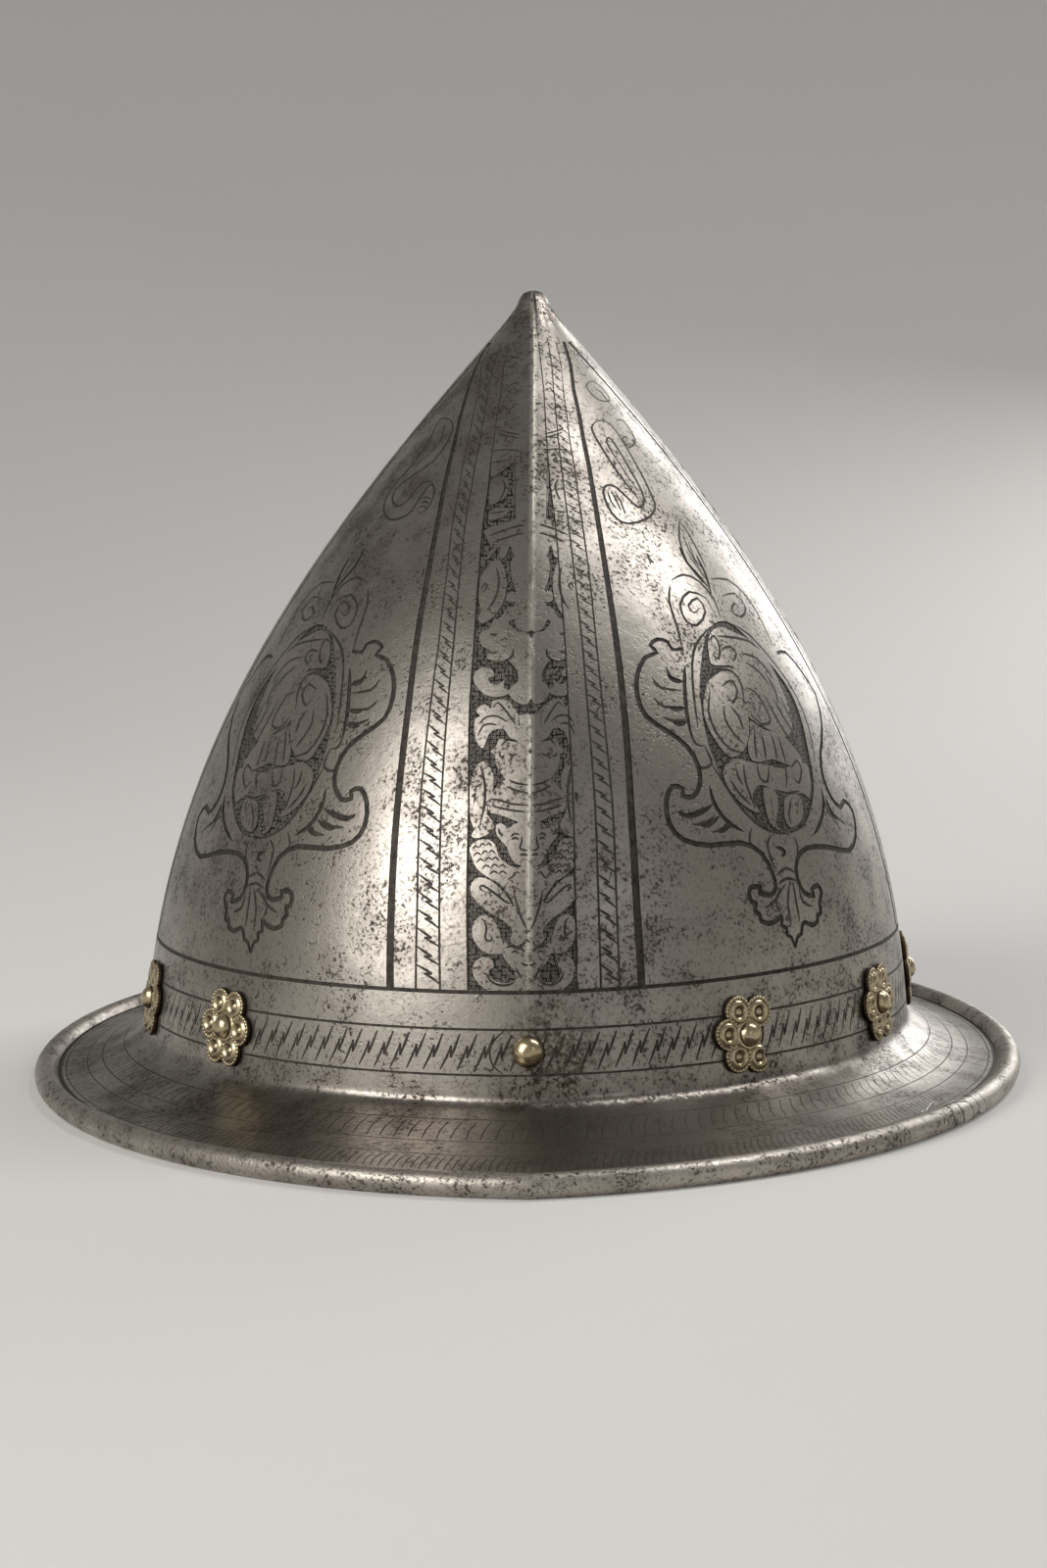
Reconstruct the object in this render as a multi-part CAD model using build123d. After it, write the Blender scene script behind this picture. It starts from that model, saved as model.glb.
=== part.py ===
from build123d import *
import math
import os

# A cabasset: a tall pointed infantry helmet of the late sixteenth century. One steel plate is raised
# to a keeled skull, flared to a narrow brim and rolled under round a wire at its edge. Brass rivets
# with rosette washers go round its base and hold the leather band to which the padded lining is sewn.
# Millimetres. +Z is up, -Y is the wearer's front, and the origin is the middle of the plane that the
# rim stands on.

# How the plate's surfaces are written
# A level section of the helmet is a ring of six numbers: half width, half length, how far its middle
# lies to the right and to the rear, how far its flanks fall away from the keel line, and its height.
# A net is a short list of rings that pull a smooth Bezier surface between the first and the last.

# Plate
wall = 1.6                   # thickness of the raised plate
overrun = 2.0                # how far a cutting solid runs past what it cuts

# Skull, from its foot up to the neck under the stalk
skull_half_width = 94.7
skull_half_length = 113.6
skull_foot = 13.3            # height where the wall ends and the flare begins
skull_neck = 186.0           # height where the stalk begins
neck_set_over = 4.1          # the hand-raised skull leans a little: its neck lies this far to the right
neck_set_back = 10.0         # and this far to the rear of the middle
keel_drop = 6.6              # fall of the flanks from the keel line, where it is greatest
skull_width_shares = (1.0, 0.966, 0.829, 0.459, 0.055)
skull_length_shares = (1.0, 0.962, 0.902, 0.525, 0.063)
skull_set_over_shares = (0.0, 0.25, 0.5, 0.75, 1.0)
skull_set_back_shares = (0.0, 0.0, 0.1, 0.55, 1.0)
skull_drop_shares = (0.55, 0.7, 1.0, 0.95, 0.18)

# Stalk: the blunt tip that the plate is drawn out to
stalk_height = 5.7
stalk_half_width = 3.9
stalk_half_length = 5.0
stalk_lean = 1.2             # rearwards, over its height
stalk_tip_share = 0.2        # the flat on its very end
stalk_width_shares = (1.0, 1.0, 0.85)
stalk_height_shares = (0.26, 0.49, 1.0)
stalk_lean_shares = (0.2, 0.5, 1.0)

# Brim, from the rolled edge in to the flare
brim_root_half_width = 98.4
brim_root_half_length = 117.0
brim_root_height = 9.4
brim_edge_half_width = 119.2   # to the middle of the rolled edge
brim_edge_half_length = 165.0
brim_edge_height = 3.3         # top of the plate where it enters the roll
brim_edge_drop = 9.0
brim_spread_shares = (0.0, 0.41, 0.79, 1.0)
brim_rise_shares = (0.0, 0.13, 0.58, 1.0)

# Flare: the tight hollow between the skull and the brim
flare_skull_share = 0.045      # how far it carries on along the skull's slope
flare_brim_share = 0.42        # and along the brim's

# Rolled edge and the wire in it
roll_radius = 2.8
roll_centre_height = 2.65    # a little less than the radius, so the rim stands on a worn flat
wire_radius = 1.2
wire_clearance = 0.06
roll_slit = 0.5              # open seam between the turned-under edge and the brim
roll_slit_angle = 228.0      # where that seam lies round the roll, from outwards over the top

# Rivets, placed round the base as shares of a quarter turn from the front
rivet_height = 22.0
rivet_place_shares = (0.0, 0.352, 0.693, 1.0, 1.31, 1.65, 2.0, 2.31, 2.59, 2.87, 3.17, 3.467)
bare_rivets = (0,)           # the front rivet has lost its rosette
shank_radius = 1.5
hole_clearance = 0.1
head_radius = 2.85
head_height = 2.1
bare_head_radius = 3.6
bare_head_height = 2.9
peened_radius = 2.3
peened_height = 1.0
seat_clearance = 0.12        # between the pieces of a rivet's stack
keel_bed = 0.6               # a flat washer in the keel's hollow beds this much deeper

# Rosettes, the embossed washers under the rivet heads
rosette_thickness = 0.6
petal_count = 6
petal_radius = 3.7           # of each scallop of the outline
petal_set_out = 5.9          # from the middle of the rosette to the middle of a petal
eye_radius = 2.5             # foot of the raised eye on each petal
eye_crest = 1.7              # radius of its flat top
eye_height = 0.9
boss_radius = 3.3            # raised seat under the rivet's head
boss_height = 0.5

# Roves, the washers under the peened ends inside
rove_radius = 4.2
rove_thickness = 0.9

# Leather band inside the base
band_thickness = 2.0
band_foot = 15.5
band_top = 33.0
band_clearance = 0.25        # to the inside of the skull
band_butt_gap = 0.8          # between the band's two ends, at the rear

# Padded lining, a quilted cap sewn to the top of the band
lining_thickness = 5.0
lining_clearance = 0.4       # to the band
lining_foot = 28.5
lining_crown_share = 0.631746    # of the height from the lining's foot up to the stalk
lining_width_shares = (1.0, 0.97, 0.80, 0.52, 0.05)
lining_height_shares = (0.0, 0.30, 0.68, 1.0, 1.0)

# The share of a radius that makes a Bezier quarter nearly round
quarter_handle_share = 0.5523

# Side (-1 left, +1 right) and end (-1 front, +1 rear) of each quarter, in order from the front
QUARTERS = ((1, -1), (1, 1), (-1, 1), (-1, -1))


def between(start, end, share):
    """A ring or a point part of the way from one to another."""
    return tuple(a + (b - a) * share for a, b in zip(start, end))


def pull(net, shares):
    """What a Bezier net comes to when it is drawn together once for each share."""
    rings = list(net)
    for share in shares:
        rings = [between(a, b, share) for a, b in zip(rings, rings[1:])]
    return rings


def part_of(net, start, end):
    """The net of a part of a surface, between two shares of its rise."""
    degree = len(net) - 1
    return [pull(net, [start] * (degree - n) + [end] * n)[0] for n in range(degree + 1)]


def ring_points(ring, side, end):
    """The four Bezier points in space of one quarter of a ring, from its keel to its flank."""
    half_width, half_length, set_over, set_back, drop, height = ring
    reach = quarter_handle_share
    return [
        (set_over, set_back + end * half_length, height),
        (set_over + side * reach * half_width, set_back + end * (half_length - drop), height),
        (set_over + side * half_width, set_back + end * reach * half_length, height),
        (set_over + side * half_width, set_back, height),
    ]


def surface(net):
    """The four faces that a net draws round the helmet."""
    return [Face.make_bezier_surface([ring_points(ring, *quarter) for ring in net]) for quarter in QUARTERS]


def outline(ring):
    """A ring as a closed wire."""
    return Wire([Bezier(*ring_points(ring, *quarter)) for quarter in QUARTERS])


def body(faces):
    """A solid from faces that meet edge to edge."""
    return Solid(Shell(faces))


def slope(start, end, column):
    """The outward unit direction across a net's outline, in half width (0) or half length (1) and height."""
    run = end[column] - start[column]
    rise = end[-1] - start[-1]
    length = math.hypot(run, rise)
    return rise / length, -run / length


def inset(net, depth):
    """A net moved inwards, square to itself."""
    moved = []
    for number, ring in enumerate(net):
        start = net[max(number - 1, 0)]
        end = net[min(number + 1, len(net) - 1)]
        wide_out, wide_up = slope(start, end, 0)
        long_out, long_up = slope(start, end, 1)
        moved.append((
            ring[0] - depth * wide_out,
            ring[1] - depth * long_out,
            *ring[2:-1],
            ring[-1] - depth * (wide_up + long_up) / 2,
        ))
    return moved


def skull_net():
    """The skull's outside, from its foot to its neck, with its rings at even steps of height."""
    steps = len(skull_width_shares) - 1
    net = []
    for step in range(steps + 1):
        net.append((
            skull_half_width * skull_width_shares[step],
            skull_half_length * skull_length_shares[step],
            neck_set_over * skull_set_over_shares[step],
            neck_set_back * skull_set_back_shares[step],
            keel_drop * skull_drop_shares[step],
            skull_foot + (skull_neck - skull_foot) * step / steps,
        ))
    return net


def skull_share(height):
    """How far up the skull a height lies, which is also the Bezier share of its section."""
    return (height - skull_foot) / (skull_neck - skull_foot)


def stalk_net():
    """The drawn-out tip: straight sides, a blunt end with a small flat, leaning to the rear."""
    neck = skull_net()[-1]
    net = [neck]
    for width_share, height_share, lean_share in zip(
        stalk_width_shares, stalk_height_shares, stalk_lean_shares
    ):
        net.append((
            stalk_half_width * width_share,
            stalk_half_length * width_share,
            neck[2],
            neck[3] + stalk_lean * lean_share,
            0,
            skull_neck + stalk_height * height_share,
        ))
    net.append((
        stalk_half_width * stalk_tip_share,
        stalk_half_length * stalk_tip_share,
        neck[2],
        neck[3] + stalk_lean,
        0,
        skull_neck + stalk_height,
    ))
    return net


def roll_ring(radius, angle):
    """A ring on the roll's section: a radius and an angle in degrees, from outwards over the top."""
    out = radius * math.cos(math.radians(angle))
    up = radius * math.sin(math.radians(angle))
    half_width = brim_edge_half_width + out
    half_length = brim_edge_half_length + out
    return half_width, half_length, 0, 0, brim_edge_drop, roll_centre_height + up


def roll_angle(height):
    """The angle on the roll's inner side at a height."""
    return 180 - math.degrees(math.asin((height - roll_centre_height) / roll_radius))


def roll_surface(radius, start, end):
    """The faces round the roll's section between two angles, in stretches of a tenth of a turn at most."""
    count = math.ceil(abs(end - start) / 36)
    turn = (end - start) / count
    reach = math.tan(math.radians(turn) / 4) * 4 / 3
    swing = math.degrees(math.atan(reach))
    handle = radius * math.hypot(1, reach)
    faces = []
    for step in range(count):
        here = start + turn * step
        there = here + turn
        faces += surface([
            roll_ring(radius, here),
            roll_ring(handle, here + swing),
            roll_ring(handle, there - swing),
            roll_ring(radius, there),
        ])
    return faces


def brim_net():
    """The top of the brim from the roll inwards, level where it leaves the roll and steeper at the flare."""
    edge = roll_ring(roll_radius, roll_angle(brim_edge_height))
    root = (brim_root_half_width, brim_root_half_length, 0, 0, skull_net()[0][4], brim_root_height)
    net = []
    for spread, rise in zip(brim_spread_shares, brim_rise_shares):
        net.append(between(edge, root, spread)[:-1] + between(edge, root, rise)[-1:])
    return net


def flare_net():
    """The hollow that leaves the skull along its slope and enters the brim along the brim's."""
    skull = skull_net()
    brim = brim_net()
    return [
        brim[-1],
        between(brim[-1], brim[-2], -flare_brim_share),
        between(skull[0], skull[1], -flare_skull_share),
        skull[0],
    ]


def rivet_place(share):
    """Where a rivet goes through the skull: a Location on its outside, with Z pointing outwards."""
    side, end = QUARTERS[int(share) % 4]
    along = share - int(share)
    if side * end > 0:
        along = 1 - along
    net = skull_net()
    rise = skull_share(rivet_height)
    lower, upper = pull(net, [rise] * (len(net) - 2))
    ring = between(lower, upper, rise)
    points = ring_points(ring, side, end)
    before, after = pull(points, [along] * (len(points) - 2))
    spot = between(before, after, along)
    low, high = [pull(ring_points(r, side, end), [along] * (len(points) - 1))[0] for r in (lower, upper)]
    out = (Vector(after) - Vector(before)).cross(Vector(high) - Vector(low))
    if out.dot(Vector(spot)) < 0:
        out = -out
    if share % 2 == 0:
        out = Vector(0, out.Y, out.Z)
    return Plane(origin=spot, x_dir=Vector(0, 0, 1).cross(out), z_dir=out).location


def rivet_places():
    """A Location for each rivet, in order round the helmet from the front."""
    return [rivet_place(share) for share in rivet_place_shares]


def rivet_hole(start, end):
    """A drilled hole along a rivet's own Z axis."""
    hole = Cylinder(shank_radius + hole_clearance, end - start)
    return Pos(0, 0, (start + end) / 2) * hole


def drill(solid, start, end):
    """Drills a solid for every rivet, between two depths along their axes."""
    for place in rivet_places():
        solid -= place * rivet_hole(start, end)
    return solid


def make_skull():
    """Skull, flare, brim and rolled edge in one plate, with the roll's open seam and its bore."""
    outside = [brim_net(), flare_net(), skull_net()]
    inside = [inset(net, wall) for net in outside]
    bore_radius = wire_radius + wire_clearance
    plate_top = roll_angle(brim_edge_height)
    plate_foot = roll_angle(brim_edge_height - wall)
    flat_inner = roll_angle(0)
    flat_outer = 180 - flat_inner
    seam_half = math.degrees(math.asin(roll_slit / 2 / roll_radius))
    seam_inner = roll_slit_angle - seam_half
    seam_outer = roll_slit_angle + seam_half
    inside[0][0] = roll_ring(roll_radius, plate_foot)
    faces = surface(stalk_net()) + [Face(outline(stalk_net()[-1])), Face(outline(inside[2][-1]))]
    for net in outside + inside:
        faces += surface(net)
    faces += roll_surface(roll_radius, plate_top, flat_outer)
    faces += surface([roll_ring(roll_radius, flat_outer), roll_ring(roll_radius, flat_inner)])
    faces += roll_surface(roll_radius, flat_inner, seam_outer)
    faces += surface([roll_ring(roll_radius, seam_outer), roll_ring(bore_radius, seam_outer)])
    faces += roll_surface(bore_radius, seam_outer - 360, seam_inner)
    faces += surface([roll_ring(bore_radius, seam_inner), roll_ring(roll_radius, seam_inner)])
    faces += roll_surface(roll_radius, seam_inner, plate_foot)
    return drill(body(faces), -wall * overrun, wall * overrun)


def make_rim_wire():
    """The iron wire in the rolled edge."""
    return body(roll_surface(wire_radius, 0, 360))


def make_band():
    """The leather band inside the base, its ends butted at the rear."""
    foot = skull_share(band_foot)
    top = skull_share(band_top)
    outer = part_of(inset(skull_net(), wall + band_clearance), foot, top)
    inner = part_of(inset(skull_net(), wall + band_clearance + band_thickness), foot, top)
    faces = surface(outer) + surface(inner) + surface([outer[0], inner[0]]) + surface([outer[-1], inner[-1]])
    gap_size = (band_butt_gap, skull_half_length, 2 * band_top)
    band = body(faces) - Pos(0, skull_half_length, band_top) * Box(*gap_size)
    return drill(band, -(wall + band_clearance + band_thickness) * overrun, 0)


def lining_net(depth):
    """A surface of the padded cap: its outside at depth 0, its inside at its thickness."""
    stack = wall + band_clearance + band_thickness + lining_clearance
    foot = pull(inset(skull_net(), stack), [skull_share(lining_foot)] * 4)[0]
    crown = lining_foot + (skull_neck - lining_foot) * lining_crown_share
    net = []
    for width_share, height_share in zip(lining_width_shares, lining_height_shares):
        net.append((
            (foot[0] - depth) * width_share,
            (foot[1] - depth) * width_share,
            foot[2],
            foot[3],
            foot[4] * width_share,
            lining_foot + (crown - depth - lining_foot) * height_share,
        ))
    return net


def make_lining():
    """The padded cap, open below, rounder and lower than the skull above it."""
    outer = lining_net(0)
    inner = lining_net(lining_thickness)
    faces = surface(outer) + surface(inner) + surface([outer[0], inner[0]])
    return body(faces + [Face(outline(outer[-1])), Face(outline(inner[-1]))])


def washer_bed(share):
    """How much deeper the inner washer of a rivet lies where the rivet is on the keel."""
    return keel_bed if share % 2 == 0 else 0


def make_rivet(radius, height, seat, bed):
    """A domed brass head on a shank that is peened over the rove; Z 0 is the outside of the skull."""
    dome_radius = (radius**2 + height**2) / (2 * height)
    half_turn = math.asin(radius / dome_radius) / 2
    middle = (
        dome_radius * math.sin(half_turn),
        seat + height - dome_radius * (1 - math.cos(half_turn)),
    )
    half_section = [
        Line((0, seat), (radius, seat)),
        ThreePointArc((radius, seat), middle, (0, seat + height)),
        Line((0, seat + height), (0, seat)),
    ]
    head = revolve(Plane.XZ * make_face(half_section), Axis.Z)
    rove_floor = wall + band_clearance + band_thickness + bed + rove_thickness + 2 * seat_clearance
    bottom = rove_floor + peened_height
    shank = Pos(0, 0, (seat - bottom) / 2) * Cylinder(shank_radius, seat + bottom)
    peened = Pos(0, 0, -(rove_floor + bottom) / 2) * Cone(shank_radius, peened_radius, peened_height)
    return head + shank + peened


def make_rosette():
    """An embossed six-petalled washer, each petal with a raised eye; Z 0 is its back."""
    scallops = Circle(petal_set_out)
    turns = [Rot(0, 0, 360 * petal / petal_count) * Pos(petal_set_out, 0) for petal in range(petal_count)]
    for turn in turns:
        scallops += turn * Circle(petal_radius)
    plate = extrude(scallops, rosette_thickness)
    for turn in turns:
        plate += turn * Pos(0, 0, rosette_thickness + eye_height / 2) * Cone(eye_radius, eye_crest, eye_height)
    plate += Pos(0, 0, rosette_thickness + boss_height / 2) * Cylinder(boss_radius, boss_height)
    return plate - rivet_hole(-overrun, rosette_thickness + boss_height + overrun)


def make_rove():
    """The iron washer inside, under the peened end; Z 0 is its face against the leather."""
    disc = Pos(0, 0, -rove_thickness / 2) * Cylinder(rove_radius, rove_thickness)
    return disc - rivet_hole(-rove_thickness - overrun, overrun)


def main():
    os.makedirs("parts", exist_ok=True)
    export_step(make_skull(), "parts/skull.step")
    export_step(make_rim_wire(), "parts/rim_wire.step")
    export_step(make_band(), "parts/lining_band.step")
    export_step(make_lining(), "parts/quilted_lining.step")
    rosette_seat = rosette_thickness + boss_height + 2 * seat_clearance
    rosette = Pos(0, 0, seat_clearance) * make_rosette()
    rove = make_rove()
    for number, (share, place) in enumerate(zip(rivet_place_shares, rivet_places())):
        name = f"{number + 1:02d}"
        bed = washer_bed(share)
        if number in bare_rivets:
            rivet = make_rivet(bare_head_radius, bare_head_height, seat_clearance, bed)
        else:
            rivet = make_rivet(head_radius, head_height, rosette_seat, bed)
            export_step(place * rosette, f"parts/rosette_{name}.step")
        rove_depth = wall + band_clearance + band_thickness + bed + seat_clearance
        export_step(place * rivet, f"parts/rivet_{name}.step")
        export_step(place * Pos(0, 0, -rove_depth) * rove, f"parts/rove_{name}.step")


main()
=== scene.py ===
import math
import random
from functools import partial

import bmesh
import bpy
import numpy as np
from mathutils import Matrix, Vector
from mathutils.geometry import delaunay_2d_cdt


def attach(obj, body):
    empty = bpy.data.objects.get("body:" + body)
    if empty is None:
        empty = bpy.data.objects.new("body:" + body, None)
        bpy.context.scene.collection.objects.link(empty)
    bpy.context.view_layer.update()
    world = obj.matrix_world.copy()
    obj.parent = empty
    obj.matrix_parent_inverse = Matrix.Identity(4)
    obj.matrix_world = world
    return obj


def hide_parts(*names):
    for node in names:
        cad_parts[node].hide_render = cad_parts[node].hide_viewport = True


# A cabasset in etched steel, with brass rosettes and a padded lining. Lengths are millimetres unless a
# name ends in _m. A "turn" is the angle round the helmet in degrees: 0 at the front keel, 90 on the
# viewer's right, 180 at the rear. A "rise" is a place up the plate's section: on the skull it is the
# height, and below that it runs on down the flare and out along the brim.

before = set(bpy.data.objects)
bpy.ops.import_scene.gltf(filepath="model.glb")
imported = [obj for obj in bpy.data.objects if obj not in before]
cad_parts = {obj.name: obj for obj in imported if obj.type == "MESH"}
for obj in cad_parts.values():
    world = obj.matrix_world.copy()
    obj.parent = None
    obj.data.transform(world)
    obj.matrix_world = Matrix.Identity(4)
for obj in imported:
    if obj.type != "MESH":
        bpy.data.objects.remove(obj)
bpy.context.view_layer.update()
random.seed(7)
MM = 0.001

# Plate surfaces
# The plate is one sheet of steel, and its surfaces are the ones of the CAD model. A ring is a level
# section in six numbers: half width, half length, how far its middle lies to the right and to the rear,
# how far its flanks fall away from the keel line, and its height. A net of rings pulls a Bezier surface.
wall = 1.6
skull_half_width = 94.7
skull_half_length = 113.6
skull_foot = 13.3
skull_neck = 186.0
neck_set_over = 4.1
neck_set_back = 10.0
keel_drop = 6.6
skull_width_shares = (1.0, 0.966, 0.829, 0.459, 0.055)
skull_length_shares = (1.0, 0.962, 0.902, 0.525, 0.063)
skull_set_over_shares = (0.0, 0.25, 0.5, 0.75, 1.0)
skull_set_back_shares = (0.0, 0.0, 0.1, 0.55, 1.0)
skull_drop_shares = (0.55, 0.7, 1.0, 0.95, 0.18)
stalk_height = 5.7
stalk_half_width = 3.9
stalk_half_length = 5.0
stalk_lean = 1.2
stalk_tip_share = 0.2
stalk_width_shares = (1.0, 1.0, 0.85)
stalk_height_shares = (0.26, 0.49, 1.0)
stalk_lean_shares = (0.2, 0.5, 1.0)
brim_root_half_width = 98.4
brim_root_half_length = 117.0
brim_root_height = 9.4
brim_edge_half_width = 119.2
brim_edge_half_length = 165.0
brim_edge_height = 3.3
brim_edge_drop = 9.0
brim_spread_shares = (0.0, 0.41, 0.79, 1.0)
brim_rise_shares = (0.0, 0.13, 0.58, 1.0)
flare_skull_share = 0.045
flare_brim_share = 0.42
roll_radius = 2.8
roll_centre_height = 2.65
wire_radius = 1.2
wire_clearance = 0.06
roll_slit = 0.5
roll_slit_angle = 228.0
quarter_handle_share = 0.5523
flare_run = 6.0              # stretch of rise that stands for the flare
brim_run = 20.0              # and for the brim
flare_foot = skull_foot - flare_run
brim_foot = flare_foot - brim_run
tip_rise = skull_neck + stalk_height


def between(start, end, share):
    """A ring part of the way from one to another."""
    return tuple(a + (b - a) * share for a, b in zip(start, end))


def skull_net():
    """The skull's outside, from its foot to its neck."""
    steps = len(skull_width_shares) - 1
    return [(
        skull_half_width * skull_width_shares[step],
        skull_half_length * skull_length_shares[step],
        neck_set_over * skull_set_over_shares[step],
        neck_set_back * skull_set_back_shares[step],
        keel_drop * skull_drop_shares[step],
        skull_foot + (skull_neck - skull_foot) * step / steps,
    ) for step in range(steps + 1)]


def stalk_net():
    """The blunt tip, up to its small flat end."""
    neck = skull_net()[-1]
    width_shares = stalk_width_shares + (stalk_tip_share,)
    height_shares = stalk_height_shares + (stalk_height_shares[-1],)
    lean_shares = stalk_lean_shares + (stalk_lean_shares[-1],)
    return [neck] + [(
        stalk_half_width * width_share,
        stalk_half_length * width_share,
        neck[2],
        neck[3] + stalk_lean * lean_share,
        0,
        skull_neck + stalk_height * height_share,
    ) for width_share, height_share, lean_share in zip(width_shares, height_shares, lean_shares)]


def roll_ring(radius, angle):
    """A ring on the section of the rolled edge, at an angle in degrees from outwards over the top."""
    out = radius * math.cos(math.radians(angle))
    up = radius * math.sin(math.radians(angle))
    half_width = brim_edge_half_width + out
    half_length = brim_edge_half_length + out
    return half_width, half_length, 0, 0, brim_edge_drop, roll_centre_height + up


def roll_angle(height):
    """The angle on the roll's inner side at a height."""
    return 180 - math.degrees(math.asin((height - roll_centre_height) / roll_radius))


def brim_net():
    """The top of the brim from the roll inwards."""
    edge = roll_ring(roll_radius, roll_angle(brim_edge_height))
    root = (brim_root_half_width, brim_root_half_length, 0, 0, skull_net()[0][4], brim_root_height)
    return [
        between(edge, root, spread)[:-1] + between(edge, root, rise)[-1:]
        for spread, rise in zip(brim_spread_shares, brim_rise_shares)
    ]


def flare_net():
    """The hollow between the brim and the skull."""
    skull = skull_net()
    brim = brim_net()
    return [
        brim[-1],
        between(brim[-1], brim[-2], -flare_brim_share),
        between(skull[0], skull[1], -flare_skull_share),
        skull[0],
    ]


def inset(net, depth):
    """A net moved inwards, square to itself."""
    net = np.array(net, float)
    ahead = np.vstack([net[1:], net[-1:]])
    behind = np.vstack([net[:1], net[:-1]])
    way = ahead - behind
    moved = net.copy()
    ups = []
    for column in (0, 1):
        length = np.hypot(way[:, column], way[:, 5])
        moved[:, column] -= depth * way[:, 5] / length
        ups.append(-way[:, column] / length)
    moved[:, 5] -= depth * (ups[0] + ups[1]) / 2
    return moved


def bezier(net, share):
    """The rings of a net at an array of shares, and how fast they change there."""
    net = np.array(net, float)
    degree = len(net) - 1
    share = np.asarray(share, float)[:, None]
    value = 0
    speed = 0
    for n in range(degree + 1):
        value = value + math.comb(degree, n) * share**n * (1 - share)**(degree - n) * net[n]
    for n in range(degree):
        step = net[n + 1] - net[n]
        speed = speed + degree * math.comb(degree - 1, n) * share**n * (1 - share)**(degree - 1 - n) * step
    return value, speed


def ring_at(rings, turn, quarter=None):
    """Points on rings at turns, and how fast they move with the turn."""
    if quarter is None:
        quarter = np.floor(turn / 90).astype(int)
    even = quarter % 2 == 0
    along = turn / 90 - quarter
    u = np.where(even, along, 1 - along)
    side = np.where(quarter % 4 < 2, 1, -1)
    end = np.where((quarter % 4 == 0) | (quarter % 4 == 3), -1, 1)
    k = quarter_handle_share
    b0, b1, b2, b3 = (1 - u)**3, 3 * u * (1 - u)**2, 3 * u**2 * (1 - u), u**3
    d0, d1, d2, d3 = -3 * (1 - u)**2, 3 * (1 - u) * (1 - 3 * u), 3 * u * (2 - 3 * u), 3 * u**2
    width, length, over, back, drop, height = rings.T
    x = over + side * width * (k * b1 + b2 + b3)
    y = back + end * (length * (b0 + b1 + k * b2) - drop * b1)
    sign = np.where(even, 1, -1) / 90
    dx = sign * side * width * (k * d1 + d2 + d3)
    dy = sign * end * (length * (d0 + d1 + k * d2) - drop * d1)
    return np.stack([x, y, height], 1), np.stack([dx, dy, 0 * dx], 1)


BANDS = (
    (brim_foot, flare_foot, brim_net()),
    (flare_foot, skull_foot, flare_net()),
    (skull_foot, skull_neck, skull_net()),
    (skull_neck, tip_rise, stalk_net()),
)


def on_plate(turn, rise, quarter=None):
    """Points of the plate's outside, with their motion along the turn and along the rise."""
    turn = np.asarray(turn, float)
    rise = np.asarray(rise, float)
    if quarter is None:
        quarter = np.floor(turn / 90).astype(int)
    place = np.zeros((len(turn), 3))
    across = np.zeros((len(turn), 3))
    upwards = np.zeros((len(turn), 3))
    for low, high, net in BANDS:
        here = (rise >= low) & (rise < high)
        if low == brim_foot:
            here |= rise < low
        if high == tip_rise:
            here |= rise >= high
        if not here.any():
            continue
        rings, speed = bezier(net, (rise[here] - low) / (high - low))
        place[here], across[here] = ring_at(rings, turn[here], quarter[here])
        upwards[here] = ring_at(speed, turn[here], quarter[here])[0] / (high - low)
    return place, across, upwards


def outwards(turn, rise, quarter=None):
    """The plate's outward normals."""
    _, across, upwards = on_plate(turn, rise, quarter)
    normal = np.cross(across, upwards)
    return normal / np.linalg.norm(normal, axis=1)[:, None]


# Camera
# It stands level with the upper skull, a metre in front, and looks slightly down, as in the photograph.
# The same numbers lead back from a point read in the photograph to a place on the plate.
camera_distance = 1000.0
camera_height = 180.0
camera_tilt = math.radians(6.3)
camera_roll = math.radians(0.8)
focal_px = 4120.0
image_width_px = 1068
image_height_px = 1600
first_guess_px = (6.0, 4.2, 1013)        # pixels to a degree of turn and of rise, and the base's row
first_guess_rise = 35.0


def seen_at(turn, rise):
    """Where the camera sees points of the plate, in pixels of the photograph."""
    place = on_plate(turn, rise)[0]
    ahead = place[:, 1] + camera_distance
    over = place[:, 2] - camera_height
    depth = ahead * math.cos(camera_tilt) - over * math.sin(camera_tilt)
    up = over * math.cos(camera_tilt) + ahead * math.sin(camera_tilt)
    right = place[:, 0] * math.cos(camera_roll) - up * math.sin(camera_roll)
    up = place[:, 0] * math.sin(camera_roll) + up * math.cos(camera_roll)
    x = image_width_px / 2 + focal_px * right / depth
    y = image_height_px / 2 - focal_px * up / depth
    return np.stack([x, y], 1)


def read_off(points, sheet):
    """Places on the plate (turn, rise) of points read on an enlarged piece of the photograph."""
    left, top, scale = sheet
    pixels = np.array(points, float) / scale + (left, top)
    turn_px, rise_px, foot_px = first_guess_px
    turn = np.clip((pixels[:, 0] - image_width_px / 2) / turn_px, -60, 60)
    rise = np.clip(first_guess_rise + (foot_px - pixels[:, 1]) / rise_px, 20, 180)
    step = 0.01
    for _ in range(14):
        miss = pixels - seen_at(turn, rise)
        by_turn = (seen_at(turn + step, rise) - seen_at(turn - step, rise)) / (2 * step)
        by_rise = (seen_at(turn, rise + step) - seen_at(turn, rise - step)) / (2 * step)
        det = by_turn[:, 0] * by_rise[:, 1] - by_turn[:, 1] * by_rise[:, 0]
        turn = turn + np.clip((miss[:, 0] * by_rise[:, 1] - miss[:, 1] * by_rise[:, 0]) / det, -12, 12)
        rise = rise + np.clip((by_turn[:, 0] * miss[:, 1] - by_turn[:, 1] * miss[:, 0]) / det, -20, 20)
        turn = np.clip(turn, -84, 84)
        rise = np.clip(rise, brim_foot, tip_rise)
    return np.stack([turn, rise], 1)


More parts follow.
